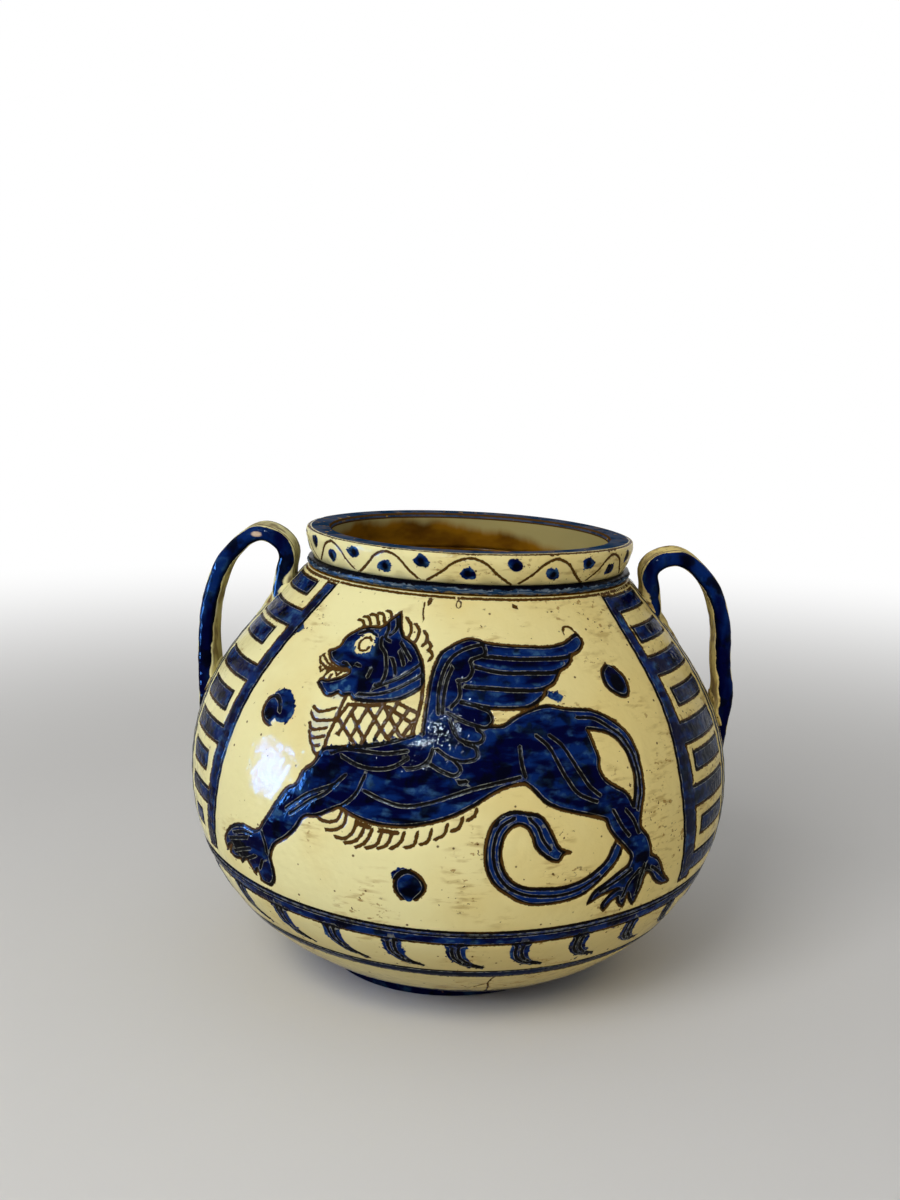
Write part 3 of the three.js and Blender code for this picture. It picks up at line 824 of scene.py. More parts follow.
painted = [("blue", BAND_FOOT, BAND_TOP, BAND_SAG), ("blue", *RING_HEIGHTS, RING_SAG),
           ("blue", FOOT_HEIGHT, BASE_PAINT, 0), ("pool", FOOT_HEIGHT, BASE_PAINT, 0)]
for layer, low, high, sag in painted:
    body_drawing.fill(layer, np.vstack([round_wall(low, sag), round_wall(high, sag)[::-1]]), LONG_STEP)
rings = [(BAND_FOOT, BAND_SAG, KEY_WIDTH), (BAND_TOP, BAND_SAG, KEY_WIDTH),
         (BAND_TOP - BAND_LINE, BAND_SAG, RING_WIDTH),
         *[(height, RING_SAG, RING_WIDTH) for height in RING_HEIGHTS],
         (SERRATION_HEIGHT, 0, SERRATION_WIDTH)]
for height, sag, width in rings:
    body_drawing.cut(round_wall(height, sag), width, step=LONG_STEP)

for i in range(CRESCENTS):
    middle = CRESCENT_MIDDLE + 2 * HALF_TURN * ((i + 0.5) / CRESCENTS - 0.5)
    patch = np.vstack([hung(CRESCENT_OUTER, middle), hung(CRESCENT_INNER, middle)])
    body_drawing.fill("blue", patch)
    for line in CRESCENT_CUTS:
        body_drawing.cut(hung(line, middle), CRESCENT_WIDTH, step=2 * FINE_STEP)
print("lower rings:", CRESCENTS, "crescents")

# %% [markdown]
# ## Small marks
# The front has marks that nobody drew: a hairline down from the neck, slip that stuck to the wall, a dab
# of watery blue under the tip of the wing and a crack over the foot.

# %% Draw the small marks
HAIRLINE = [(-28.1, 186.7), (-27.7, 183.8), (-26.2, 180.8)]
HAIRLINE_WIDTH = 0.7
STUCK_RING = ((-4.3, 187.3), (1.7, 1.3))
STUCK_SLIP = [[(-24.7, 187), (-24.4, 188.1)], [(33.7, 187.5), (36.5, 186.9)]]
WING_DAB = [(44.2, 157.2), (43.6, 154.6), (51.4, 152.6), (53.6, 155.2)]
CRACK = [(26.6, 29), (25, 24), (27, 19), (29.5, 12)]
CRACK_SIDE = [(17.6, 19), (22, 21.4), (25.4, 23)]

for line in (CRACK, CRACK_SIDE):
    body_drawing.cut(hung(line, 0), RING_WIDTH)
for mark in (HAIRLINE, oval(*STUCK_RING)):
    body_drawing.cut(on_wall(*np.array(mark).T), HAIRLINE_WIDTH)
for speck in STUCK_SLIP:
    body_drawing.cut(on_wall(*np.array(speck).T), BLEMISH_WIDTH)
for layer in ("blue", "wash"):
    body_drawing.fill(layer, on_wall(*np.array(WING_DAB).T))
print("small marks:", len(STUCK_SLIP) + 4)

# %% [markdown]
# ## Making meshes
# A piece is gathered as points, triangles and a few numbers at each point. Triangles that meet are
# welded by their place, so a turned wall closes on itself without a seam. A plain turned stretch is a
# grid of rings, and a ring on the axis shrinks to one point by the same weld.

# %% Mesh helpers
WELD = 0.004
SEAM_ANGLE = SEAM_ACROSS / BELLY[0]


class Shell:
    """Points, triangles and point measures of a piece, in millimetres."""

    def __init__(self):
        self.points = []
        self.triangles = []
        self.finishes = []
        self.measures = {"cut": [], "blue": [], "wash": [], "pool": []}
        self.count = 0

    def add(self, points, triangles, finish=0, **measures):
        self.points.append(points)
        self.triangles.append(np.asarray(triangles) + self.count)
        self.finishes.append(np.full(len(triangles), finish))
        for name, values in self.measures.items():
            values.append(np.broadcast_to(measures.get(name, REACH), len(points)))
        self.count += len(points)

    def other_side(self):
        """The same piece on the other side of the pot, half a turn round."""
        self.points = [part * (-1, -1, 1) for part in self.points]
        return self

    def turned(self, profile, finish=0, columns=RING_COLUMNS, **measures):
        """A plain turned stretch through the profile's radii and heights, faced to the profile's right."""
        angle = SEAM_ANGLE + np.linspace(0, 2 * math.pi, columns + 1)
        circle = np.column_stack([np.sin(angle), -np.cos(angle), np.zeros(len(angle))])
        rings = [radius * circle + (0, 0, height) for radius, height in profile]
        self.add(np.vstack(rings), grid_triangles(len(rings), columns + 1), finish, **measures)

    def build(self, name, finishes, leans=True):
        points = np.vstack(self.points)
        keys = np.round(points / WELD).astype(np.int64)
        first, index = np.unique(keys, axis=0, return_index=True, return_inverse=True)[1:]
        triangles = index.reshape(-1)[np.vstack(self.triangles)]
        whole = (triangles != np.roll(triangles, 1, axis=1)).all(1)
        placed = leaned(points[first]) if leans else points[first]
        mesh = bpy.data.meshes.new(name)
        mesh.from_pydata((placed * MM).tolist(), [], triangles[whole].tolist())
        mesh.polygons.foreach_set("use_smooth", np.ones(int(whole.sum()), bool))
        mesh.polygons.foreach_set("material_index", np.concatenate(self.finishes)[whole].astype(np.int32))
        for measure, values in self.measures.items():
            layer = mesh.attributes.new(measure, "FLOAT", "POINT")
            layer.data.foreach_set("value", np.concatenate(values)[first].astype(np.float32))
        for finish in finishes:
            mesh.materials.append(finish)
        mesh.update()
        piece = bpy.data.objects.new(name, mesh)
        bpy.context.collection.objects.link(piece)
        print(name, len(mesh.vertices), "points", len(mesh.polygons), "triangles")
        return piece


def grid_triangles(rows, columns):
    """Triangles of a grid of points, given row after row; they face to the left of rows going up."""
    corner = (np.arange(rows - 1)[:, None] * columns + np.arange(columns - 1)).reshape(-1)
    first = np.column_stack([corner, corner + 1, corner + columns + 1])
    second = np.column_stack([corner, corner + columns + 1, corner + columns])
    return np.vstack([first, second])


def dress(piece, node):
    """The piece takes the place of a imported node."""
    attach(piece, "root")
    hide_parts(node)


print("mesh helpers ready")

# %% [markdown]
# ## Colours and the making of a finish
# The colours are written as they look on a screen. A finish is a glossy material with three things that
# vary over the pot: its colour, its roughness, and a fine relief that only bends the light.

# %% Colours of the glaze
CREAM_PALE = colour(230, 223, 167)
CREAM_WARM = colour(221, 206, 143)
CREAM_TAN = colour(222, 198, 122)
CREAM_STAIN = colour(160, 128, 66)
CREAM_LOW = colour(182, 162, 106)
INK = colour(1, 2, 12)
NAVY = colour(0, 2, 43)
COBALT = colour(6, 36, 94)
WATERY = colour(66, 110, 146)
SLATE = colour(84, 98, 112)
# The grey of the painted reflection on the right of the blue.
SHEEN_SLATE = colour(54, 60, 68)
BAND_SLATE = colour(20, 25, 38)
TEAL = colour(26, 52, 80)
# The pale of the ridges beside cuts: partly thin glaze, partly a painted glint.
RIDGE_PALE_AND_GLINT = colour(132, 134, 122)
CUT_BROWN = colour(78, 53, 20)
CUT_BLACK = colour(14, 12, 10)
WASH_GREY = colour(190, 198, 190)
PIT_BROWN = colour(76, 46, 14)
RUST = colour(142, 104, 46)
GLOSS = 0.014
BUMP_HEIGHT = 0.6
BUMP_STRENGTH = 0.5


def finish(name, colours, roughness, relief, gloss=GLOSS):
    """A glazed material from functions that make its colour, its roughness and its fine relief."""
    material = bpy.data.materials.new(name)
    material.use_nodes = True
    tree = material.node_tree
    shader = tree.nodes["Principled BSDF"]
    start = Socket(tree)
    bumps = {"Height": relief(start), "Distance": BUMP_HEIGHT * MM, "Strength": BUMP_STRENGTH}
    bump = start.node("ShaderNodeBump", {}, bumps)
    tree.links.new(colours(start).output, shader.inputs["Base Color"])
    tree.links.new(roughness(start).output, shader.inputs["Roughness"])
    tree.links.new(bump.output, shader.inputs["Normal"])
    shader.inputs["Specular IOR Level"].default_value = gloss
    return material


def rough(least, spread, size):
    """A function that makes a roughness: a least value and a spread, in clouds of a size."""
    return lambda start: least + spread * start.noise(size)


def grain(size, detail):
    """A function that makes a fine relief, with grains of a size."""
    return lambda start: start.noise(size, detail)


print("finishes ready")

# %% [markdown]
# ## Cream glaze
# Cream tin glaze covers the clay. It is a little uneven: pale and warm clouds, a tan side, a dull foot,
# and scuffs, rust and brown pits where it pulled back. They gather in the same worn places.

# %% Cream and its flaws
LOW_ZONE = (0.064, 0.036)
PIT_EDGE = 0.02


def streaks(start, size, flatness, detail=5.0):
    """Level streaks, as a turning brush or rib leaves them."""
    return start.noise(size, detail, flatness)


def pits(start, spacing, size, share):
    """1 in small round pits, one to a cell of some spacing, in a share of the cells."""
    cells = {"Vector": start.place(), "Scale": 1 / (spacing * MM)}
    near = start.node("ShaderNodeTexVoronoi", {}, cells, "Distance")
    chance = start.node("ShaderNodeTexVoronoi", {}, cells, "Color")
    picked = start.node("ShaderNodeSeparateColor", {}, {"Color": chance}, "Red").step(share, share - PIT_EDGE)
    return near.step(size / spacing, 0.5 * size / spacing) * picked


def cream(start):
    """The bare tin glaze: pale and warm clouds, duller low down, with scuffs and specks that gather."""
    across = start.axis("X")
    height = start.axis("Z")
    clouds = (start.noise(45, 3) + 1.2 * across).step(0.38, 0.7).blend(CREAM_PALE, CREAM_WARM)
    tanned = (across.step(-0.05, 0.09) * 0.75).blend(clouds, CREAM_TAN)
    dulled = (height.step(*LOW_ZONE) * 0.6).blend(tanned, CREAM_LOW)
    worn = (start.noise(24, 3) + 0.8 * across).step(0.48, 0.64)
    scuffed = (streaks(start, 9, 4.5).step(0.49, 0.68) * worn * 0.55).blend(dulled, CREAM_STAIN)
    rusty = (streaks(start, 3.2, 1.4, 3) + 0.05 * worn).step(0.66, 0.74)
    stained = (rusty * 0.75 * worn).blend(scuffed, RUST)
    specks = (start.noise(1.9, 2) + 0.07 * worn).step(0.74, 0.78)
    flecks = (streaks(start, 5, 1.5) + 0.05 * worn).step(0.71, 0.77) * 0.7
    return (specks.most(flecks).most(pits(start, 6, 0.75, 0.4)) * 0.9).blend(stained, PIT_BROWN)


print("cream ready")

# %% [markdown]
# ## Cobalt and cut lines
# The cobalt is brushed on in watery strokes: near black where it pools beside a cut, clear blue where it
# is thin. A cut shows the brown clay through the glaze, and is nearly black inside the blue. Low down the
# blue turns to slate, and on the right it is greyed toward slate as a painted reflection. The pale ridges
# beside the cuts are partly thin glaze on the burr and partly a painted glint.

# %% Cobalt, lines and the body's finish
SLATE_ZONE = (0.046, 0.037)
# The next span across is where the painted reflection greys the blue on the right.
SHEEN_SIDE = (0.085, 0.122)


def cut_mask(start):
    """1 in a cut, with ragged edges."""
    return (start.measure("cut") + (start.noise(1.4) - 0.5) * 0.9).step(0.14, -0.14)


def blue_mask(start, bleeding=6.0):
    """1 in the blue, which keeps to its patch and here and there bleeds out past the cut."""
    bleed = (start.noise(2.6, 4) - 0.5).most(0.0) * bleeding
    return (start.measure("blue") - bleed + 0.2).step(0.22, -0.22)


# The slate argument is the share of the painted reflection that greys the blue on the right.
def cobalt(start, watery=0.9, slate=0.6, flatness=3.0, edging=1.0):
    """The blue: near black where it pools, mottled and clear near its edge and where the brush was dry,
    greyed on the right as a painted reflection, with pale ridges by the cuts that are partly a painted glint.
    """
    cut = start.measure("cut")
    across = start.axis("X")
    height = start.axis("Z")
    brushed = start.measure("wash").step(0.8, -1.2)
    edge = edging * start.measure("blue").step(-4.0, -0.6)
    thin = (streaks(start, 14, flatness, 3) + 0.09 * edge).step(0.45, 0.64).most(brushed)
    mottle = (start.noise(4.5, 4) + 0.05 * edge).step(0.48, 0.7) * cut.step(0.2, 1.4)
    clear = mottle * watery * (0.55 * thin).most(brushed)
    wet = clear.blend((thin * 0.9).blend(NAVY, COBALT), WATERY)
    pooling = (start.noise(9, 4) - 0.05 * edge).step(0.5, 0.62) * (1 - 0.8 * brushed)
    inky = (pooling * 0.85).blend(wet, INK)
    banded = (0.8 * height.step(*SLATE_ZONE)).blend(inky, BAND_SLATE)
    # On the right the blue is greyed toward slate: a painted reflection.
    sheened_right = (slate * across.step(*SHEEN_SIDE)).blend(banded, SHEEN_SLATE)
    pooled = start.measure("pool").step(0.6, -1.4).blend(sheened_right, INK)
    # Pale ridges beside the cuts in the blue: partly thin glaze on the burr, partly a painted glint.
    ridge_glint = cut.step(-0.05, 0.08) * cut.step(0.42, 0.26) * start.measure("blue").step(0.0, -0.6)
    return (ridge_glint * (0.2 + 0.8 * start.noise(2.6, 3).step(0.42, 0.6)) * 0.75).blend(pooled, RIDGE_PALE_AND_GLINT)


def painter(extra, bleeding=6.0, **brush):
    """Paints cream, blue and cut lines; extra lays one more colour where the mesh marks a wash."""

    def painted(start):
        ground = blue_mask(start, bleeding).blend(cream(start), cobalt(start, **brush))
        browned = start.measure("blue") + 2.4 * (start.noise(9) - 0.5)
        line = browned.step(0.5, -0.2).blend(CUT_BROWN, CUT_BLACK)
        return cut_mask(start).blend(extra(start, ground), line)

    return painted


def watered(start, ground):
    """Brush water, grey with a little blue, that dried on the cream."""
    dry = start.measure("blue").step(-0.2, 0.6)
    share = start.measure("wash").step(0.8, -1.2) * start.noise(5).step(0.3, 0.7) * dry
    return (0.7 * share).blend(ground, WASH_GREY)


def painted_gloss(start):
    """The roughness of the painted glaze: nearly a mirror, and duller in the cuts."""
    return 0.03 + 0.06 * start.noise(20) + 0.2 * cut_mask(start)


def painted_relief(start):
    """The fine relief of the painted glaze, which is livelier in the blue."""
    return start.noise(3.5, 2) + 0.8 * blue_mask(start) * start.noise(1.8, 2) + 2 * start.noise(14, 2)


body_glaze = finish("body_glaze", painter(watered), painted_gloss, painted_relief)
print("made", body_glaze.name)

# %% [markdown]
# ## The glaze inside
# Inside, the pot was only swilled with a clear lead glaze, so the clay shows through it as amber and
# olive brown, darker where the glaze ran thick. Under the foot the clay is bare and dull.

# %% Inside and underside materials
AMBER = colour(136, 92, 14)
OLIVE = colour(172, 160, 104)
DARK_AMBER = colour(86, 54, 8)
CLAY = colour(150, 112, 76)
CLAY_DARK = colour(98, 72, 48)


def amber(start):
    """Amber in level swathes, and olive that runs down from the mouth, further on the right."""
    across = start.axis("X")
    thick = streaks(start, 30, 2).step(0.4, 0.66).blend(AMBER, DARK_AMBER)
    drips = start.measure("wash") + 8 * (streaks(start, 24, 0.3) - 0.5)
    olive = (drips - 5.0 * across.step(0.0, 0.05)).step(-1.2, -4.2)
    return (0.9 * olive).blend(thick, OLIVE)


def bare_clay(start):
    return start.noise(9, 5).step(0.35, 0.7).blend(CLAY, CLAY_DARK)


inside_glaze = finish("inside_glaze", amber, rough(0.12, 0.1, 15), grain(12, 2))
clay_face = finish("bare_clay", bare_clay, rough(0.75, 0.15, 6), grain(1.4, 4))
print("made", inside_glaze.name, clay_face.name)

# %% [markdown]
# ## The body
# The outside is triangulated on the unrolled wall, fine beside the cuts and coarse on plain glaze, and
# each point is then lifted off the turned wall: down in a cut, up a little on its burr, up under the
# thick blue. A bump map alone would leave the outline of a cut flat, and the exported mesh would lose it.

# %% Make the vessel body
CUT_DEPTH = 0.5
BURR_HEIGHT = 0.1
BLUE_THICKNESS = 0.16
THROWING_DEPTH = 0.1
THROWING_PITCH = 8.5
EDGE_FADE = 5.0
SWELL = 0.5
INSIDE_SKIP = 4
THROAT_RINGS = 6


def smooth_step(value, start, end):
    share = np.clip((value - start) / (end - start), 0, 1)
    return share * share * (3 - 2 * share)


def relief(drawing, spots, cut, blue):
    """How far each spot stands off the turned wall."""
    angle = spots[:, 0] / drawing.radius
    rings = np.sin(2 * math.pi * spots[:, 1] / THROWING_PITCH + 1.3 * np.sin(angle) + np.sin(3 * angle))
    swell = 0.5 * np.sin(2 * angle + 0.02 * spots[:, 1]) + 0.35 * np.sin(3 * angle - 0.04 * spots[:, 1])
    groove = -CUT_DEPTH * smooth_step(cut, 0.12, -0.5)
    burr = BURR_HEIGHT * np.exp(-(((cut - 0.4) / 0.3) ** 2))
    glaze = BLUE_THICKNESS * smooth_step(blue, 0.2, -1.2)
    end = np.minimum(spots[:, 1], drawing.wall.length() - spots[:, 1])
    return (THROWING_DEPTH * rings + swell * SWELL + groove + burr + glaze) * smooth_step(end, 0, EDGE_FADE)


def engraved(drawing, shell):
    """Adds the decorated wall of a drawing to a shell."""
    spots, triangles = drawing.triangles()
    cut = drawing.cut_depth(spots)
    blue = np.maximum(drawing.outside(spots, "blue"), -drawing.outside(spots, "bare"))
    lift = relief(drawing, spots, cut, blue)
    points = drawing.wall.place(spots[:, 0] / drawing.radius, spots[:, 1], lift)
    wash, pool = (drawing.outside(spots, layer) for layer in ("wash", "pool"))
    shell.add(points, triangles, cut=cut, blue=blue, wash=wash, pool=pool)


def wall_inside():
    """The inside of the body from the neck to the floor, one wall thickness in."""
    offset = body_wall.profile - WALL * body_wall.outward
    kept = offset[(offset[:, 1] > FLOOR_HEIGHT + 1) & (offset[:, 1] < NECK[1] - WALL)][::-INSIDE_SKIP]
    foot = kept[-1]
    corner = (foot[0] - (foot[1] - FLOOR_HEIGHT), FLOOR_HEIGHT)
    throat = np.linspace((NECK_BORE, NECK[1]), kept[0], THROAT_RINGS)
    return [*throat, *kept[1:], corner, (corner[0] / 2, FLOOR_HEIGHT), (0, FLOOR_HEIGHT)]


body = Shell()
engraved(body_drawing, body)
body.turned([NECK, (NECK_BORE, NECK[1])], 1)
body.turned(wall_inside(), 1)
body.turned([(0, FOOT_HEIGHT), (BASE[0] / 2, FOOT_HEIGHT), BASE], 2)
dress(body.build("painted_body", [body_glaze, inside_glaze, clay_face]), "vessel_body")

# %% [markdown]
# ## Drawing on the collar
# The collar's face carries a row of cut arches with a blue drop in each and one over each valley, and the
# flat lip is blue, with a brown line at its edge. The collar is drawn and cut as the body is, on its own
# unrolled profile. The valleys in front stand where the photograph shows them, and the arches behind share
# the rest of the turn evenly.

# %% Draw the collar
COLLAR_FOOT = 195.3
COLLAR_TOP = 208.8
COLLAR_RADIUS = 77.4
FACE_FOOT_RADIUS = 74.0
STEM_RADIUS = 71.5
MOUTH_RADIUS = 65.8
LIP_ROUND = 1.8
SEAT = 190.8
COLLAR_GRID = 1.2
FRONT_VALLEYS = [-87.8, -54.0, -19.6, 21.6, 58.1, 93.9]
BACK_ARCHES = 8
ARCH = [(-0.46, 0.5), (-0.3, 5.0), (-0.14, 10.4), (0.02, 12.2), (0.16, 10.4), (0.31, 5.0), (0.46, 0.5)]
ARCH_WIDTH = 1.3
DROP_SPAN = (3.4, 2.9)
DROP_LOBE = (2.3, 2.5)
ARCH_DROP = (-0.6, 5.4)
VALLEY_DROP = (-0.4, 9.6)
DROP_TURNS = (-20, 5, 30)
LOBE_ASIDE = 1.8
LOBE_LIFT = 1.2
LOBE_TURN = 60
LIP_LINE = 14.6
LIP_LINE_WIDTH = 1.3
LIP_MARGIN = 1.0
MOUTH_LINE = 1.4
COLLAR_POINTS = 64
COLLAR_STEPS = 16


def quadratic(start, middle, end):
    share = np.linspace(0, 1, COLLAR_STEPS)[:, None]
    ends = (1 - share) ** 2 * start + share**2 * end
    return ends + 2 * share * (1 - share) * middle


face_foot = np.array((FACE_FOOT_RADIUS, COLLAR_FOOT))
face_middle = np.array((COLLAR_RADIUS, (COLLAR_FOOT + COLLAR_TOP) / 2))
face_top = np.array((COLLAR_RADIUS, COLLAR_TOP - LIP_ROUND))
lip_outer = np.array((COLLAR_RADIUS - LIP_ROUND, COLLAR_TOP))
lip_inner = np.array((MOUTH_RADIUS + LIP_ROUND, COLLAR_TOP))
mouth = np.array((MOUTH_RADIUS, COLLAR_TOP - LIP_ROUND))
collar_wall = Turning(np.vstack([
    quadratic(face_foot, face_middle, face_top),
    quadratic(face_top, np.array((COLLAR_RADIUS, COLLAR_TOP)), lip_outer)[1:],
    [lip_inner],
    quadratic(lip_inner, np.array((MOUTH_RADIUS, COLLAR_TOP)), mouth)[1:],
]))
collar_turn = 2 * math.pi * COLLAR_RADIUS
collar_drawing = Drawing(collar_wall, COLLAR_RADIUS, -0.75 * collar_turn, COLLAR_GRID)
ring_across = np.linspace(-SEAM_LAP, collar_turn + SEAM_LAP, COLLAR_POINTS) + collar_drawing.left


def collar_ring(run):
    return np.column_stack([ring_across, np.full(len(ring_across), run)])


back_valleys = np.linspace(FRONT_VALLEYS[-1], FRONT_VALLEYS[0] + collar_turn, BACK_ARCHES + 1)[1:]
valleys = [*FRONT_VALLEYS, *back_valleys]
for i, (start, end) in enumerate(zip(valleys[:-1], valleys[1:])):
    middle = (start + end) / 2
    collar_drawing.cut(np.array(ARCH) * (end - start, 1) + (middle, 0), ARCH_WIDTH)
    for spot in (np.array((middle, 0)) + ARCH_DROP, np.array((start, 0)) + VALLEY_DROP):
        turn = DROP_TURNS[i % len(DROP_TURNS)]
        lobe = spot + (LOBE_ASIDE * (-1) ** i, LOBE_LIFT * math.cos(2 * i))
        collar_drawing.fill("blue", oval(spot, DROP_SPAN, turn))
        collar_drawing.fill("blue", oval(lobe, DROP_LOBE, LOBE_TURN - turn))
        collar_drawing.fill("pool", oval(spot, DROP_LOBE, turn))
collar_drawing.cut(collar_ring(LIP_LINE), LIP_LINE_WIDTH, step=LONG_STEP)
collar_drawing.cut(collar_ring(collar_wall.length() - MOUTH_LINE), LIP_LINE_WIDTH, step=LONG_STEP)
lip_edges = [collar_ring(LIP_LINE + LIP_MARGIN), collar_ring(collar_wall.length() + REACH)[::-1]]
collar_drawing.fill("wash", np.vstack(lip_edges), LONG_STEP)
print("collar:", len(collar_drawing.cuts), "cut lines")

# %% [markdown]
# ## The collar
# The lip's blue is thin and rubbed, and is dull where the face is glossy, so the faces of the lip have a
# finish of their own. Inside, the olive glaze of the mouth goes over into the amber of the pot.

# %% Make the collar
DARK_LIP = 0.9
BORE_RINGS = 9
LIP_SLATE = colour(62, 74, 96)
LIP_BROWN = colour(112, 92, 70)


def worn_lip(start, ground):
    """Thin slate blue on the lip, rubbed brown, and pale where it is chipped."""
    rubbed = (start.noise(6, 4).step(0.52, 0.68) * 0.7).blend(LIP_SLATE, LIP_BROWN)
    dark = start.noise(11, 3).step(0.44, 0.6).blend(rubbed, TEAL)
    chipped = start.noise(4.5, 3).step(0.64, 0.7).blend(dark, CREAM_STAIN)
    return start.measure("wash").step(0.3, -0.3).blend(ground, chipped)


collar = Shell()
engraved(collar_drawing, collar)
lip_faces = collar.measures["wash"][0][collar.triangles[0]].max(1) < 0
collar.finishes[0] = np.where(lip_faces, 2, 0)
bore_top = (MOUTH_RADIUS, mouth[1] - DARK_LIP)
collar.turned([mouth, bore_top], 2, cut=-REACH, wash=-REACH)
olive = np.repeat(np.linspace(-REACH, REACH, BORE_RINGS), RING_COLUMNS + 1)
collar.turned(np.linspace(bore_top, (NECK_BORE, SEAT), BORE_RINGS), 1, wash=olive)
collar.turned([(NECK_BORE, SEAT), (STEM_RADIUS, SEAT), (STEM_RADIUS, COLLAR_FOOT),
               (FACE_FOOT_RADIUS, COLLAR_FOOT)])
collar_glaze = finish("collar_glaze", painter(worn_lip), painted_gloss, painted_relief)
lip_glaze = finish("lip_glaze", painter(worn_lip), rough(0.3, 0.2, 6), painted_relief, 0.0)
dress(collar.build("painted_collar", [collar_glaze, inside_glaze, lip_glaze]), "rim_collar")

# %% [markdown]
# ## The cordon
# A roll of clay hides the joint between body and collar. Fingers pressed it on, so it is a turned ring with
# small dents. Its blue is thin and streaky and runs to grey, with pale streaks of painted glint, painted
# shade in black along its top under the collar, and brown clay at its lower edge.

# %% Make the cordon
CORDON_INNER = 71.8
CORDON_MIDDLE = 73.9
CORDON_BULGE = 77.4
CORDON_TOP = 195.0
CORDON_COLUMNS = 360
CORDON_DENT = 0.3
ROLL_STEPS = 13
PRESSED_ROWS = range(3, 12)
BROWN_BELOW = 191.6
# Above the next height the roll is painted black as shade under the collar.
SHADE_ABOVE = 193.6
# The pale of the painted glints on the roll.
ROLL_GLINT = colour(150, 162, 168)
ROLL_BROWN = colour(128, 110, 70)


def dented(points, depth, seed):
    """Moves points in or out by smooth lumps that repeat in no plain way."""
    phase = seed * np.array((1.0, 2.3, 3.7))
    ways = ((0.9, 0.5, 1.1), (-0.6, 1.2, 0.7), (0.35, -0.4, 1.6))
    lumps = [np.sin(points @ np.array(way) + p) for way, p in zip(ways, phase)]
    return depth * sum(lumps)[:, None] / len(lumps)


def streaky(start):
    """Thin blue in level streaks with pale painted glints, painted shade in black along the top under the
    collar, and brown along the bottom of the roll.
    """
    thin = streaks(start, 6, 7).step(0.44, 0.6).blend(TEAL, SLATE)
    # The pale streaks are painted glints.
    pale = (streaks(start, 4, 5).step(0.58, 0.68) * 0.8).blend(thin, ROLL_GLINT)
    ragged = (start.noise(2.4, 3) - 0.5) * 3
    # Black along the top of the roll is painted shade, where it sits under the collar.
    shaded_top = (start.measure("pool") + ragged).step(0.3, -0.3).blend(pale, INK)
    clay = start.noise(3, 3).step(0.44, 0.6).blend(ROLL_BROWN, CUT_BROWN)
    return (start.measure("cut") + ragged).step(0.3, -0.3).blend(shaded_top, clay)


cordon_glaze = finish("cordon_glaze", streaky, rough(0.14, 0.16, 8), grain(2.2, 3))
pulls = [(CORDON_MIDDLE, SEAT), (CORDON_BULGE, SEAT), (CORDON_BULGE, CORDON_TOP), (CORDON_MIDDLE, CORDON_TOP)]
roll = bezier(pulls, ROLL_STEPS)
section = [(CORDON_INNER, SEAT), *roll, (CORDON_INNER, CORDON_TOP), (CORDON_INNER, SEAT)]
cordon = Shell()
levels = np.repeat([z for _, z in section], CORDON_COLUMNS + 1)
cordon.turned(section, columns=CORDON_COLUMNS, cut=levels - BROWN_BELOW, pool=SHADE_ABOVE - levels)
outward = cordon.points[0] * (1, 1, 0) / np.hypot(*cordon.points[0][:, :2].T)[:, None]
raised = np.repeat(np.isin(np.arange(len(section)), PRESSED_ROWS), CORDON_COLUMNS + 1)[:, None]
cordon.points[0] = cordon.points[0] + outward * raised * dented(cordon.points[0], CORDON_DENT, 1)
dress(cordon.build("pressed_cordon", [cordon_glaze]), "neck_cordon")

# %% [markdown]
# ## The foot ring
# The foot ring stands level while the pot leans, so it is not turned with the rest. Its blue is thick and
# dark, and the edge that meets the table is chipped down to the clay.

# %% Make the foot ring
FOOT_RADIUS = 60.0
FOOT_WIDTH = 9.0
FOOT_FLARE = 1.0
FOOT_BEVEL = 0.8
FOOT_WAIST = 3.0
FOOT_OVERLAP = 0.25
CHIP_DEPTH = 0.9
CHIP_RARITY = 0.55
CHIPPED_ROWS = (2, 3)


def foot_paint(start):
    """Dark blue that pools, with bare clay in patches."""
    dark = start.noise(8, 3).step(0.5, 0.7).blend(NAVY, TEAL)
    pooled = start.noise(5, 3).step(0.5, 0.6).blend(dark, INK)
    return start.noise(6, 4).step(0.6, 0.64).blend(pooled, CLAY)


foot_glaze = finish("foot_glaze", foot_paint, rough(0.16, 0.3, 7), grain(1.8, 3))
lowest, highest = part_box("foot_ring")
foot_middle = np.array((lowest[0] + highest[0], lowest[1] + highest[1], 0)) / (2 * MM)
seat_height = FOOT_HEIGHT - FOOT_OVERLAP
inner = FOOT_RADIUS - FOOT_WIDTH
ring_profile = [(inner, 0), (FOOT_RADIUS - FOOT_FLARE, 0), (FOOT_RADIUS, FOOT_BEVEL),
                (FOOT_RADIUS, FOOT_WAIST), (FOOT_RADIUS + FOOT_FLARE, seat_height),
                (inner - FOOT_FLARE, seat_height), (inner, FOOT_WAIST), (inner, 0)]
foot = Shell()
foot.turned(ring_profile)
points = foot.points[0]
tilted = leaned(points + foot_middle)[:, 2] - points[:, 2]
points[:, 2] += np.where(points[:, 2] >= seat_height, tilted, 0)
angle = np.linspace(0, 2 * math.pi, RING_COLUMNS + 1)
waves = np.sin(7 * angle) * np.sin(17 * angle + 1) + 0.3 * np.sin(41 * angle)
chips = np.clip(waves - CHIP_RARITY, 0, 1) * CHIP_DEPTH
chipped = np.isin(np.arange(len(ring_profile)), CHIPPED_ROWS)
outward = points[:, :2] / np.hypot(*points[:, :2].T)[:, None]
points[:, :2] -= outward * np.outer(chipped, chips).reshape(-1, 1)
foot.points[0] = points + foot_middle
dress(foot.build("chipped_foot", [foot_glaze], leans=False), "foot_ring")

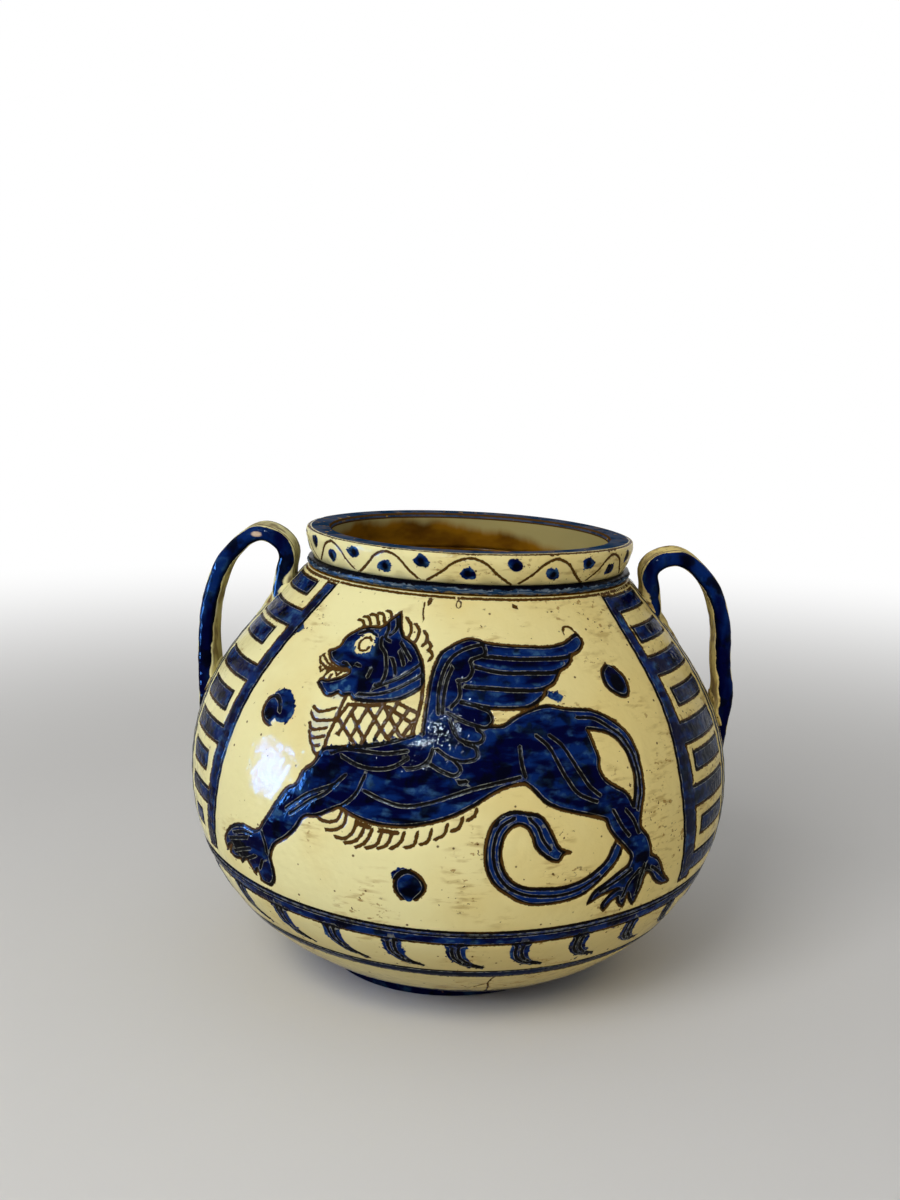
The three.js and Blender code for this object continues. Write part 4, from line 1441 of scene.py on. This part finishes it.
# %% [markdown]
# ## The strap's line and section
# Each handle is a strap of clay, bent into an ear and pressed on at both ends. Its middle line goes through
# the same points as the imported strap, and its section is a rounded bar with a few more points across the
# outer face, where the cut lines go. The line is worked out in a plane through the pot's axis.

# %% Line and section of a strap
STRAP_WIDTH = 24.0
STRAP_THICKNESS = 7.4
STRAP_ROUND = 3.2
STRAP_STEP = 1.5
STRAP_CUT = 8.3
OUTER_POINTS = (STRAP_CUT, 7.4, 3.5, 0, -3.5, -7.4, -STRAP_CUT)
INNER_POINTS = (-6, -2, 2, 6)
CORNER_POINTS = 6
SUNK = 5.5
ROOT_HEIGHT = NECK[1] - 12
ROOT_RUN = (6, 5)
END_RUN = (14, 6)
NECK_BEND = (9.5, 4)
LIMB = BELLY + (-5, 56)
LIMB_SHARES = ((0.62, 0.2), (0.91, 0.55))
CROWN_REACH = 20.5
CROWN_LIFTS = {"left": 13.0, "right": 11.0}
END_LIFTS = {"left": 33.0, "right": 29.0}


def shoulder(height):
    """The place on the wall at a height, in a plane through the axis, and the ways up and out there."""
    run = body_wall.run_at(height)
    spot = np.array([np.interp(run, body_wall.run, part) for part in body_wall.profile.T])
    out = np.array([np.interp(run, body_wall.run, part) for part in body_wall.outward.T])
    return spot, np.array((-out[1], out[0])), out


def crown_of(side):
    """The highest point of a handle's middle line."""
    return NECK + (CROWN_REACH, CROWN_LIFTS[side])


def strap_line(side):
    """The points of a handle's middle line, from inside the shoulder over the crown and into the belly."""
    root, root_up, root_out = shoulder(ROOT_HEIGHT)
    end, end_up, end_out = shoulder(BELLY[1] + END_LIFTS[side])
    root_run = ROOT_RUN[0] * root_up + ROOT_RUN[1] * root_out
    end_run = END_RUN[0] * end_up + END_RUN[1] * end_out
    crown = crown_of(side)
    outside = [crown + (LIMB - crown) * share for share in LIMB_SHARES]
    return [root - root_run, root, root + root_run, NECK + NECK_BEND, crown, *outside, LIMB,
            end + end_run, end, end - end_run]


def strap_section():
    """Points round the strap: across its width, and out from its middle."""
    half = np.array((STRAP_WIDTH, STRAP_THICKNESS)) / 2
    section = []
    for quarter, (side, face) in enumerate(((1, 1), (-1, 1), (-1, -1), (1, -1))):
        turn = np.linspace(quarter, quarter + 1, CORNER_POINTS) * math.pi / 2
        middle = (half - STRAP_ROUND) * (side, face)
        section.extend(middle + STRAP_ROUND * np.column_stack([np.cos(turn), np.sin(turn)]))
        if (side, face) == (1, 1):
            section.extend((x, half[1]) for x in OUTER_POINTS)
        if (side, face) == (-1, -1):
            section.extend((x, -half[1]) for x in INNER_POINTS)
    return np.array([*section, section[0]])


def strap_path(side):
    """The middle line of a strap, sunk a little at both ends, and its gap to the wall."""
    line = curve(strap_line(side), STRAP_STEP)
    gap = line[:, 0] - body_wall.radius(body_wall.run_at(line[:, 1]))
    middle = len(line) // 2
    first = np.flatnonzero(gap[:middle] < -SUNK).max(initial=0)
    last = middle + np.flatnonzero(gap[middle:] < -SUNK).min(initial=len(line) - middle - 1)
    return line[first:last + 1], gap[first:last + 1]


print("strap section of", len(strap_section()), "points")

# %% [markdown]
# ## Strap handles
# The broad faces of a strap are cream, with a brown cut near each edge of the outer face, and its edges
# are thick, lumpy blue. Near the wall the blue shrinks to one corner and the strap gets thicker. The left
# handle has lost a flake of glaze on its crown.

# %% Make the handles
STRAP_CUT_WIDTH = 1.2
STRAP_CUT_DEPTH = 0.3
BLUE_FROM = 9.6
DULL_FROM = 0.6
UPPER_TAPER = 5.0
LOWER_TAPER = 11.0
STRAP_LUMP = 0.28
LUMP_PITCH = 0.8
LUMP_SEEDS = {"left": 2, "right": 5}
ROOT_REACH = 17.0
ROOT_FLARE = 0.6
CHIP_PLACE = np.array((3.5, 11.0, -0.1))
CHIP_SIZE = np.array((2.5, 4.0, 1.3))
CHIP_PINK = colour(204, 178, 156)
# The olive of the painted shade on a strap's inner face.
LOOP_SHADE_OLIVE = colour(172, 158, 98)


def strap_blue(count, near, width, depth):
    """Distance outside the blue: it fills the edges, and near the wall it shrinks to one corner."""
    station = np.arange(count)[:, None]
    edge = BLUE_FROM + 0.5 * np.sin(0.31 * station) + 0.4 * np.sin(0.83 * station + 1)
    outer = 0.5 + depth / STRAP_THICKNESS
    bare = np.where(station < count / 2, UPPER_TAPER * outer, LOWER_TAPER * np.maximum(0.6 - outer, 0))
    return edge + near * bare - np.abs(width)


def swept(line, width, flared):
    """The section's points at every station of the line."""
    way = np.gradient(line, axis=0)
    way /= np.hypot(*way.T)[:, None]
    out = np.column_stack([-way[:, 1], way[:, 0]])
    plane = line[:, None] + flared[:, :, None] * out[:, None]
    return np.stack([plane[..., 0], np.broadcast_to(width, flared.shape), plane[..., 1]], -1)


def worked(points, line, blue, cut, seed):
    """The swept points, lumpy in the blue and sunk in the cuts."""
    away = points - np.insert(line, 1, 0, axis=1)[:, None]
    away /= np.linalg.norm(away, axis=2)[..., None]
    lump = dented(points.reshape(-1, 3) * LUMP_PITCH, STRAP_LUMP, seed).reshape(blue.shape)
    lift = lump * smooth_step(blue, 1.5, -0.5) - STRAP_CUT_DEPTH * smooth_step(cut, 0.1, -0.4)
    return points + away * lift[..., None]


def handle(side):
    """One handle, with the ends that are sunk in the wall closed by fans."""
    line, gap = strap_path(side)
    width, depth = strap_section().T
    near = smooth_step(gap, ROOT_REACH, -SUNK)[:, None]
    blue = strap_blue(len(line), near, width, depth)
    cut = np.where(depth > 0, np.abs(np.abs(width) - STRAP_CUT) - STRAP_CUT_WIDTH / 2, REACH)
    flared = np.where(depth < 0, depth * (1 + ROOT_FLARE * near), depth)
    points = worked(swept(line, width, flared), line, blue, cut, LUMP_SEEDS[side])
    # On a strap the pool measure is the distance from the inner face, where the olive painted shade lies.
    marks = {"cut": cut, "blue": blue, "pool": depth + STRAP_THICKNESS / 2 - STRAP_ROUND / 2}
    if side == "left":
        crown = np.insert(crown_of(side), 1, 0)
        marks["wash"] = np.linalg.norm((points - crown - CHIP_PLACE) / CHIP_SIZE, axis=2) - 1
    marks = {name: np.broadcast_to(values, blue.shape).reshape(-1) for name, values in marks.items()}
    columns = len(width)
    triangles = grid_triangles(len(line), columns)[:, ::-1]
    dull = (marks["blue"][triangles].min(1) > DULL_FROM).astype(int)
    shell = Shell()
    shell.add(points.reshape(-1, 3), triangles, dull, **marks)
    fan = np.array([(0, i, i + 1) for i in range(1, columns - 1)])
    shell.add(points[0], fan, blue=0.5)
    shell.add(points[-1], fan[:, ::-1], blue=0.5)
    return shell.other_side() if side == "left" else shell


def handled(start, ground):
    """Olive painted shade on the inner face of a strap, grime on its cream faces, and pale clay in a chip."""
    bare = start.measure("blue").step(0.2, 1.4)
    # The olive on the inner face, which faces the wall, is painted shade.
    dull = (start.measure("pool").step(0.6, -0.4) * bare * 0.7).blend(ground, LOOP_SHADE_OLIVE)
    grimy = (start.noise(9, 4).step(0.44, 0.64) * bare * 0.75).blend(dull, LIP_BROWN)
    return start.measure("wash").step(0.25, -0.25).blend(grimy, CHIP_PINK)


strap_brush = {"bleeding": 2.0, "watery": 0.5, "slate": 0.0, "flatness": 0.25, "edging": 0.0}
strap_paint = painter(handled, **strap_brush)
handle_glaze = finish("handle_glaze", strap_paint, painted_gloss, painted_relief)
dull_cream = finish("dull_cream", strap_paint, rough(0.5, 0.2, 8), painted_relief, 0.0)
for side in ("left", "right"):
    dress(handle(side).build(side + "_strap", [handle_glaze, dull_cream]), side + "_handle")

# %% [markdown]
# ## Luting clay
# Soft clay was smeared round both ends of each strap to hold it. It shows as a rough brown smear, so each
# luting is a flattened lump that lies on the slope of the wall, half sunk in it, with a dented surface.

# %% Make the lutings
LUMP_ROWS = 25
LUMP_COLUMNS = 48
LUMP_DENT = 0.5
DENT_PITCH = 0.5
UPPER_LUTING = (4.0, 7.0, 25.0, 1.0)
LOWER_LUTING = (1.3, 15.0, 3.0, 1.0)
LUTING_TAPER = 0.6
LUTING_GLOSS = 0.01


def smeared(start):
    """Cream over rough clay, which shows brown through the thin places."""
    worn = start.noise(4, 4).step(0.45, 0.62).blend(CREAM_STAIN, CUT_BROWN)
    return start.noise(10, 3).step(0.6, 0.45).blend(worn, cream(start))


luting_glaze = finish("luting_glaze", smeared, rough(0.35, 0.3, 5), grain(2, 4), LUTING_GLOSS)


def round_lump():
    """Points of a ball of radius 1, in rows from its lowest point to its highest."""
    rise = np.linspace(-math.pi / 2, math.pi / 2, LUMP_ROWS)
    turn = np.linspace(0, 2 * math.pi, LUMP_COLUMNS + 1)
    rise, turn = (values.ravel() for values in np.meshgrid(rise, turn, indexing="ij"))
    return np.column_stack([np.cos(rise) * np.cos(turn), np.cos(rise) * np.sin(turn), np.sin(rise)])


def luting(side, height, size, seed):
    """A lump on the wall at a height, longer to one end, where it also gets thin and narrow."""
    spot, up, out = shoulder(height)
    thickness, above, below, margin = size
    ball = round_lump()
    length = np.where(ball[:, 2] > 0, above, below)
    spread = (STRAP_WIDTH / 2 + margin) * (1 + LUTING_TAPER * np.minimum(ball[:, 2], 0))
    wedge = thickness * np.where(ball[:, 2] < 0, 1 + ball[:, 2], 1)
    lump = ball * np.column_stack([wedge, spread, length])
    lump = lump + ball * dented(lump * DENT_PITCH, LUMP_DENT, seed)
    flat = spot + lump[:, :1] * out + lump[:, 2:] * up
    points = np.column_stack([flat[:, 0], lump[:, 1], flat[:, 1]])
    shell = Shell()
    shell.add(points, grid_triangles(LUMP_ROWS, LUMP_COLUMNS + 1))
    return shell.other_side() if side == "left" else shell


for seed, side in enumerate(("left", "right")):
    lower_height = BELLY[1] + END_LIFTS[side]
    ends = (("upper", ROOT_HEIGHT, UPPER_LUTING), ("lower", lower_height, LOWER_LUTING))
    for part, height, size in ends:
        smear = luting(side, height, size, seed).build(f"{side}_{part}_smear", [luting_glaze])
        dress(smear, f"{side}_{part}_luting")

# %% [markdown]
# ## Floor and background
# The vase stands on a plain pale floor that fades to white. The white behind comes from the world as the
# camera sees it, straight or mirrored, so it adds no light to the glaze.

# %% Lay the floor
FLOOR_HALF = 4.0
FLOOR_PALE = (0.72, 0.71, 0.69, 1.0)
FLOOR_ROUGHNESS = 0.6
WHITE = (1, 1, 1, 1)
FADE = (0.35, 1.3)
ROOM_LIGHT = 0.42
SEEN_RAYS = ("Is Glossy Ray", "Is Transmission Ray")


def seen_by_camera(start):
    """1 for rays that show a thing to the camera, straight, mirrored or through glass."""
    seen = start.node("ShaderNodeLightPath", {}, {}, "Is Camera Ray")
    for ray in SEEN_RAYS:
        seen = seen.most(start.node("ShaderNodeLightPath", {}, {}, ray))
    return seen


floor_mesh = bpy.data.meshes.new("floor")
corners = [(FLOOR_HALF * x, FLOOR_HALF * y, 0) for x, y in ((-1, -1), (1, -1), (1, 1), (-1, 1))]
floor_mesh.from_pydata(corners, [], [(0, 1, 2, 3)])
floor = bpy.data.objects.new("floor", floor_mesh)
bpy.context.collection.objects.link(floor)

floor_finish = bpy.data.materials.new("floor")
floor_finish.use_nodes = True
floor_tree = floor_finish.node_tree
pale = floor_tree.nodes["Principled BSDF"]
pale.inputs["Base Color"].default_value = FLOOR_PALE
pale.inputs["Roughness"].default_value = FLOOR_ROUGHNESS
pale.inputs["Specular IOR Level"].default_value = 0.0
start = Socket(floor_tree)
distance = start.node("ShaderNodeVectorMath", {"operation": "LENGTH"}, {0: start.place()}, "Value")
white = start.node("ShaderNodeEmission", {}, {"Color": WHITE, "Strength": 1.0})
lit = Socket(floor_tree, pale.outputs["BSDF"])
share = distance.step(*FADE) * seen_by_camera(start)
ground = start.node("ShaderNodeMixShader", {}, {0: share, 1: lit, 2: white})
floor_tree.links.new(ground.output, floor_tree.nodes["Material Output"].inputs["Surface"])
floor_mesh.materials.append(floor_finish)

world = bpy.data.worlds.new("room")
bpy.context.scene.world = world
world.use_nodes = True
strength = ROOM_LIGHT + (1 - ROOM_LIGHT) * seen_by_camera(Socket(world.node_tree))
backdrop = world.node_tree.nodes["Background"]
backdrop.inputs["Color"].default_value = WHITE
world.node_tree.links.new(strength.output, backdrop.inputs["Strength"])
print("floor", 2 * FLOOR_HALF, "m wide, room light", ROOM_LIGHT)

# %% [markdown]
# ## Windows of light
# A large soft lamp to the left in front lights the vase, and no glaze mirrors it. The bright marks on the
# glaze come from two windows of light. Each stands where the camera sees it mirrored at a chosen spot of
# the wall, and adds no other light.

# %% Light the vase
GLINTS = {"window": (-85.0, 115.0), "far_window": (-14.0, 142.0)}
WINDOW_DISTANCE = 0.95
WINDOW_SIZES = {"window": (0.28, 0.42), "far_window": (0.07, 0.11)}
WINDOW_GLOWS = {"window": 470.0, "far_window": 1900.0}
WINDOW_COLOURS = {"window": (0.08, 0.32, 1.0), "far_window": (0.7, 0.85, 1.0)}
KEY_PLACE = Vector((-0.66, -1.15, 1.1))
KEY_TARGET = Vector((0, 0, 0.1))
KEY_SIZE = (0.9, 0.9)
KEY_POWER = 15.5


def soft_light(name, place, target, size, power):
    """A rectangle of light at a place, faced to a target."""
    lamp = bpy.data.lights.new(name, "AREA")
    lamp.shape = "RECTANGLE"
    lamp.size, lamp.size_y = size
    lamp.energy = power
    light = bpy.data.objects.new(name, lamp)
    aim = (target - place).to_track_quat("-Z", "Y").to_matrix().to_4x4()
    light.matrix_world = Matrix.Translation(place) @ aim
    bpy.context.collection.objects.link(light)
    return light


def bounced(across, height):
    """A spot on the wall, and the way from it to the thing that the camera sees mirrored there."""
    turn = np.array([across / BELLY[0]])
    run = np.array([body_wall.run_at(height)])
    glint, outer = (Vector(leaned(body_wall.place(turn, run, lift))[0]) * MM for lift in (0, 1))
    facing = (outer - glint).normalized()
    sight = (glint - CAMERA_PLACE).normalized()
    return glint, sight - 2 * sight.dot(facing) * facing


for name, spot in GLINTS.items():
    glint, bounce = bounced(*spot)
    wide, tall = WINDOW_SIZES[name]
    power = WINDOW_GLOWS[name] * math.pi * wide * tall
    window = soft_light(name, glint + bounce * WINDOW_DISTANCE, glint, (wide, tall), power)
    window.visible_diffuse = False
    window.data.color = WINDOW_COLOURS[name]
    print(name, "at", [round(v, 2) for v in window.matrix_world.translation])
key = soft_light("key", KEY_PLACE, KEY_TARGET, KEY_SIZE, KEY_POWER)
key.visible_glossy = False
print("key light at", [round(v, 2) for v in KEY_PLACE])
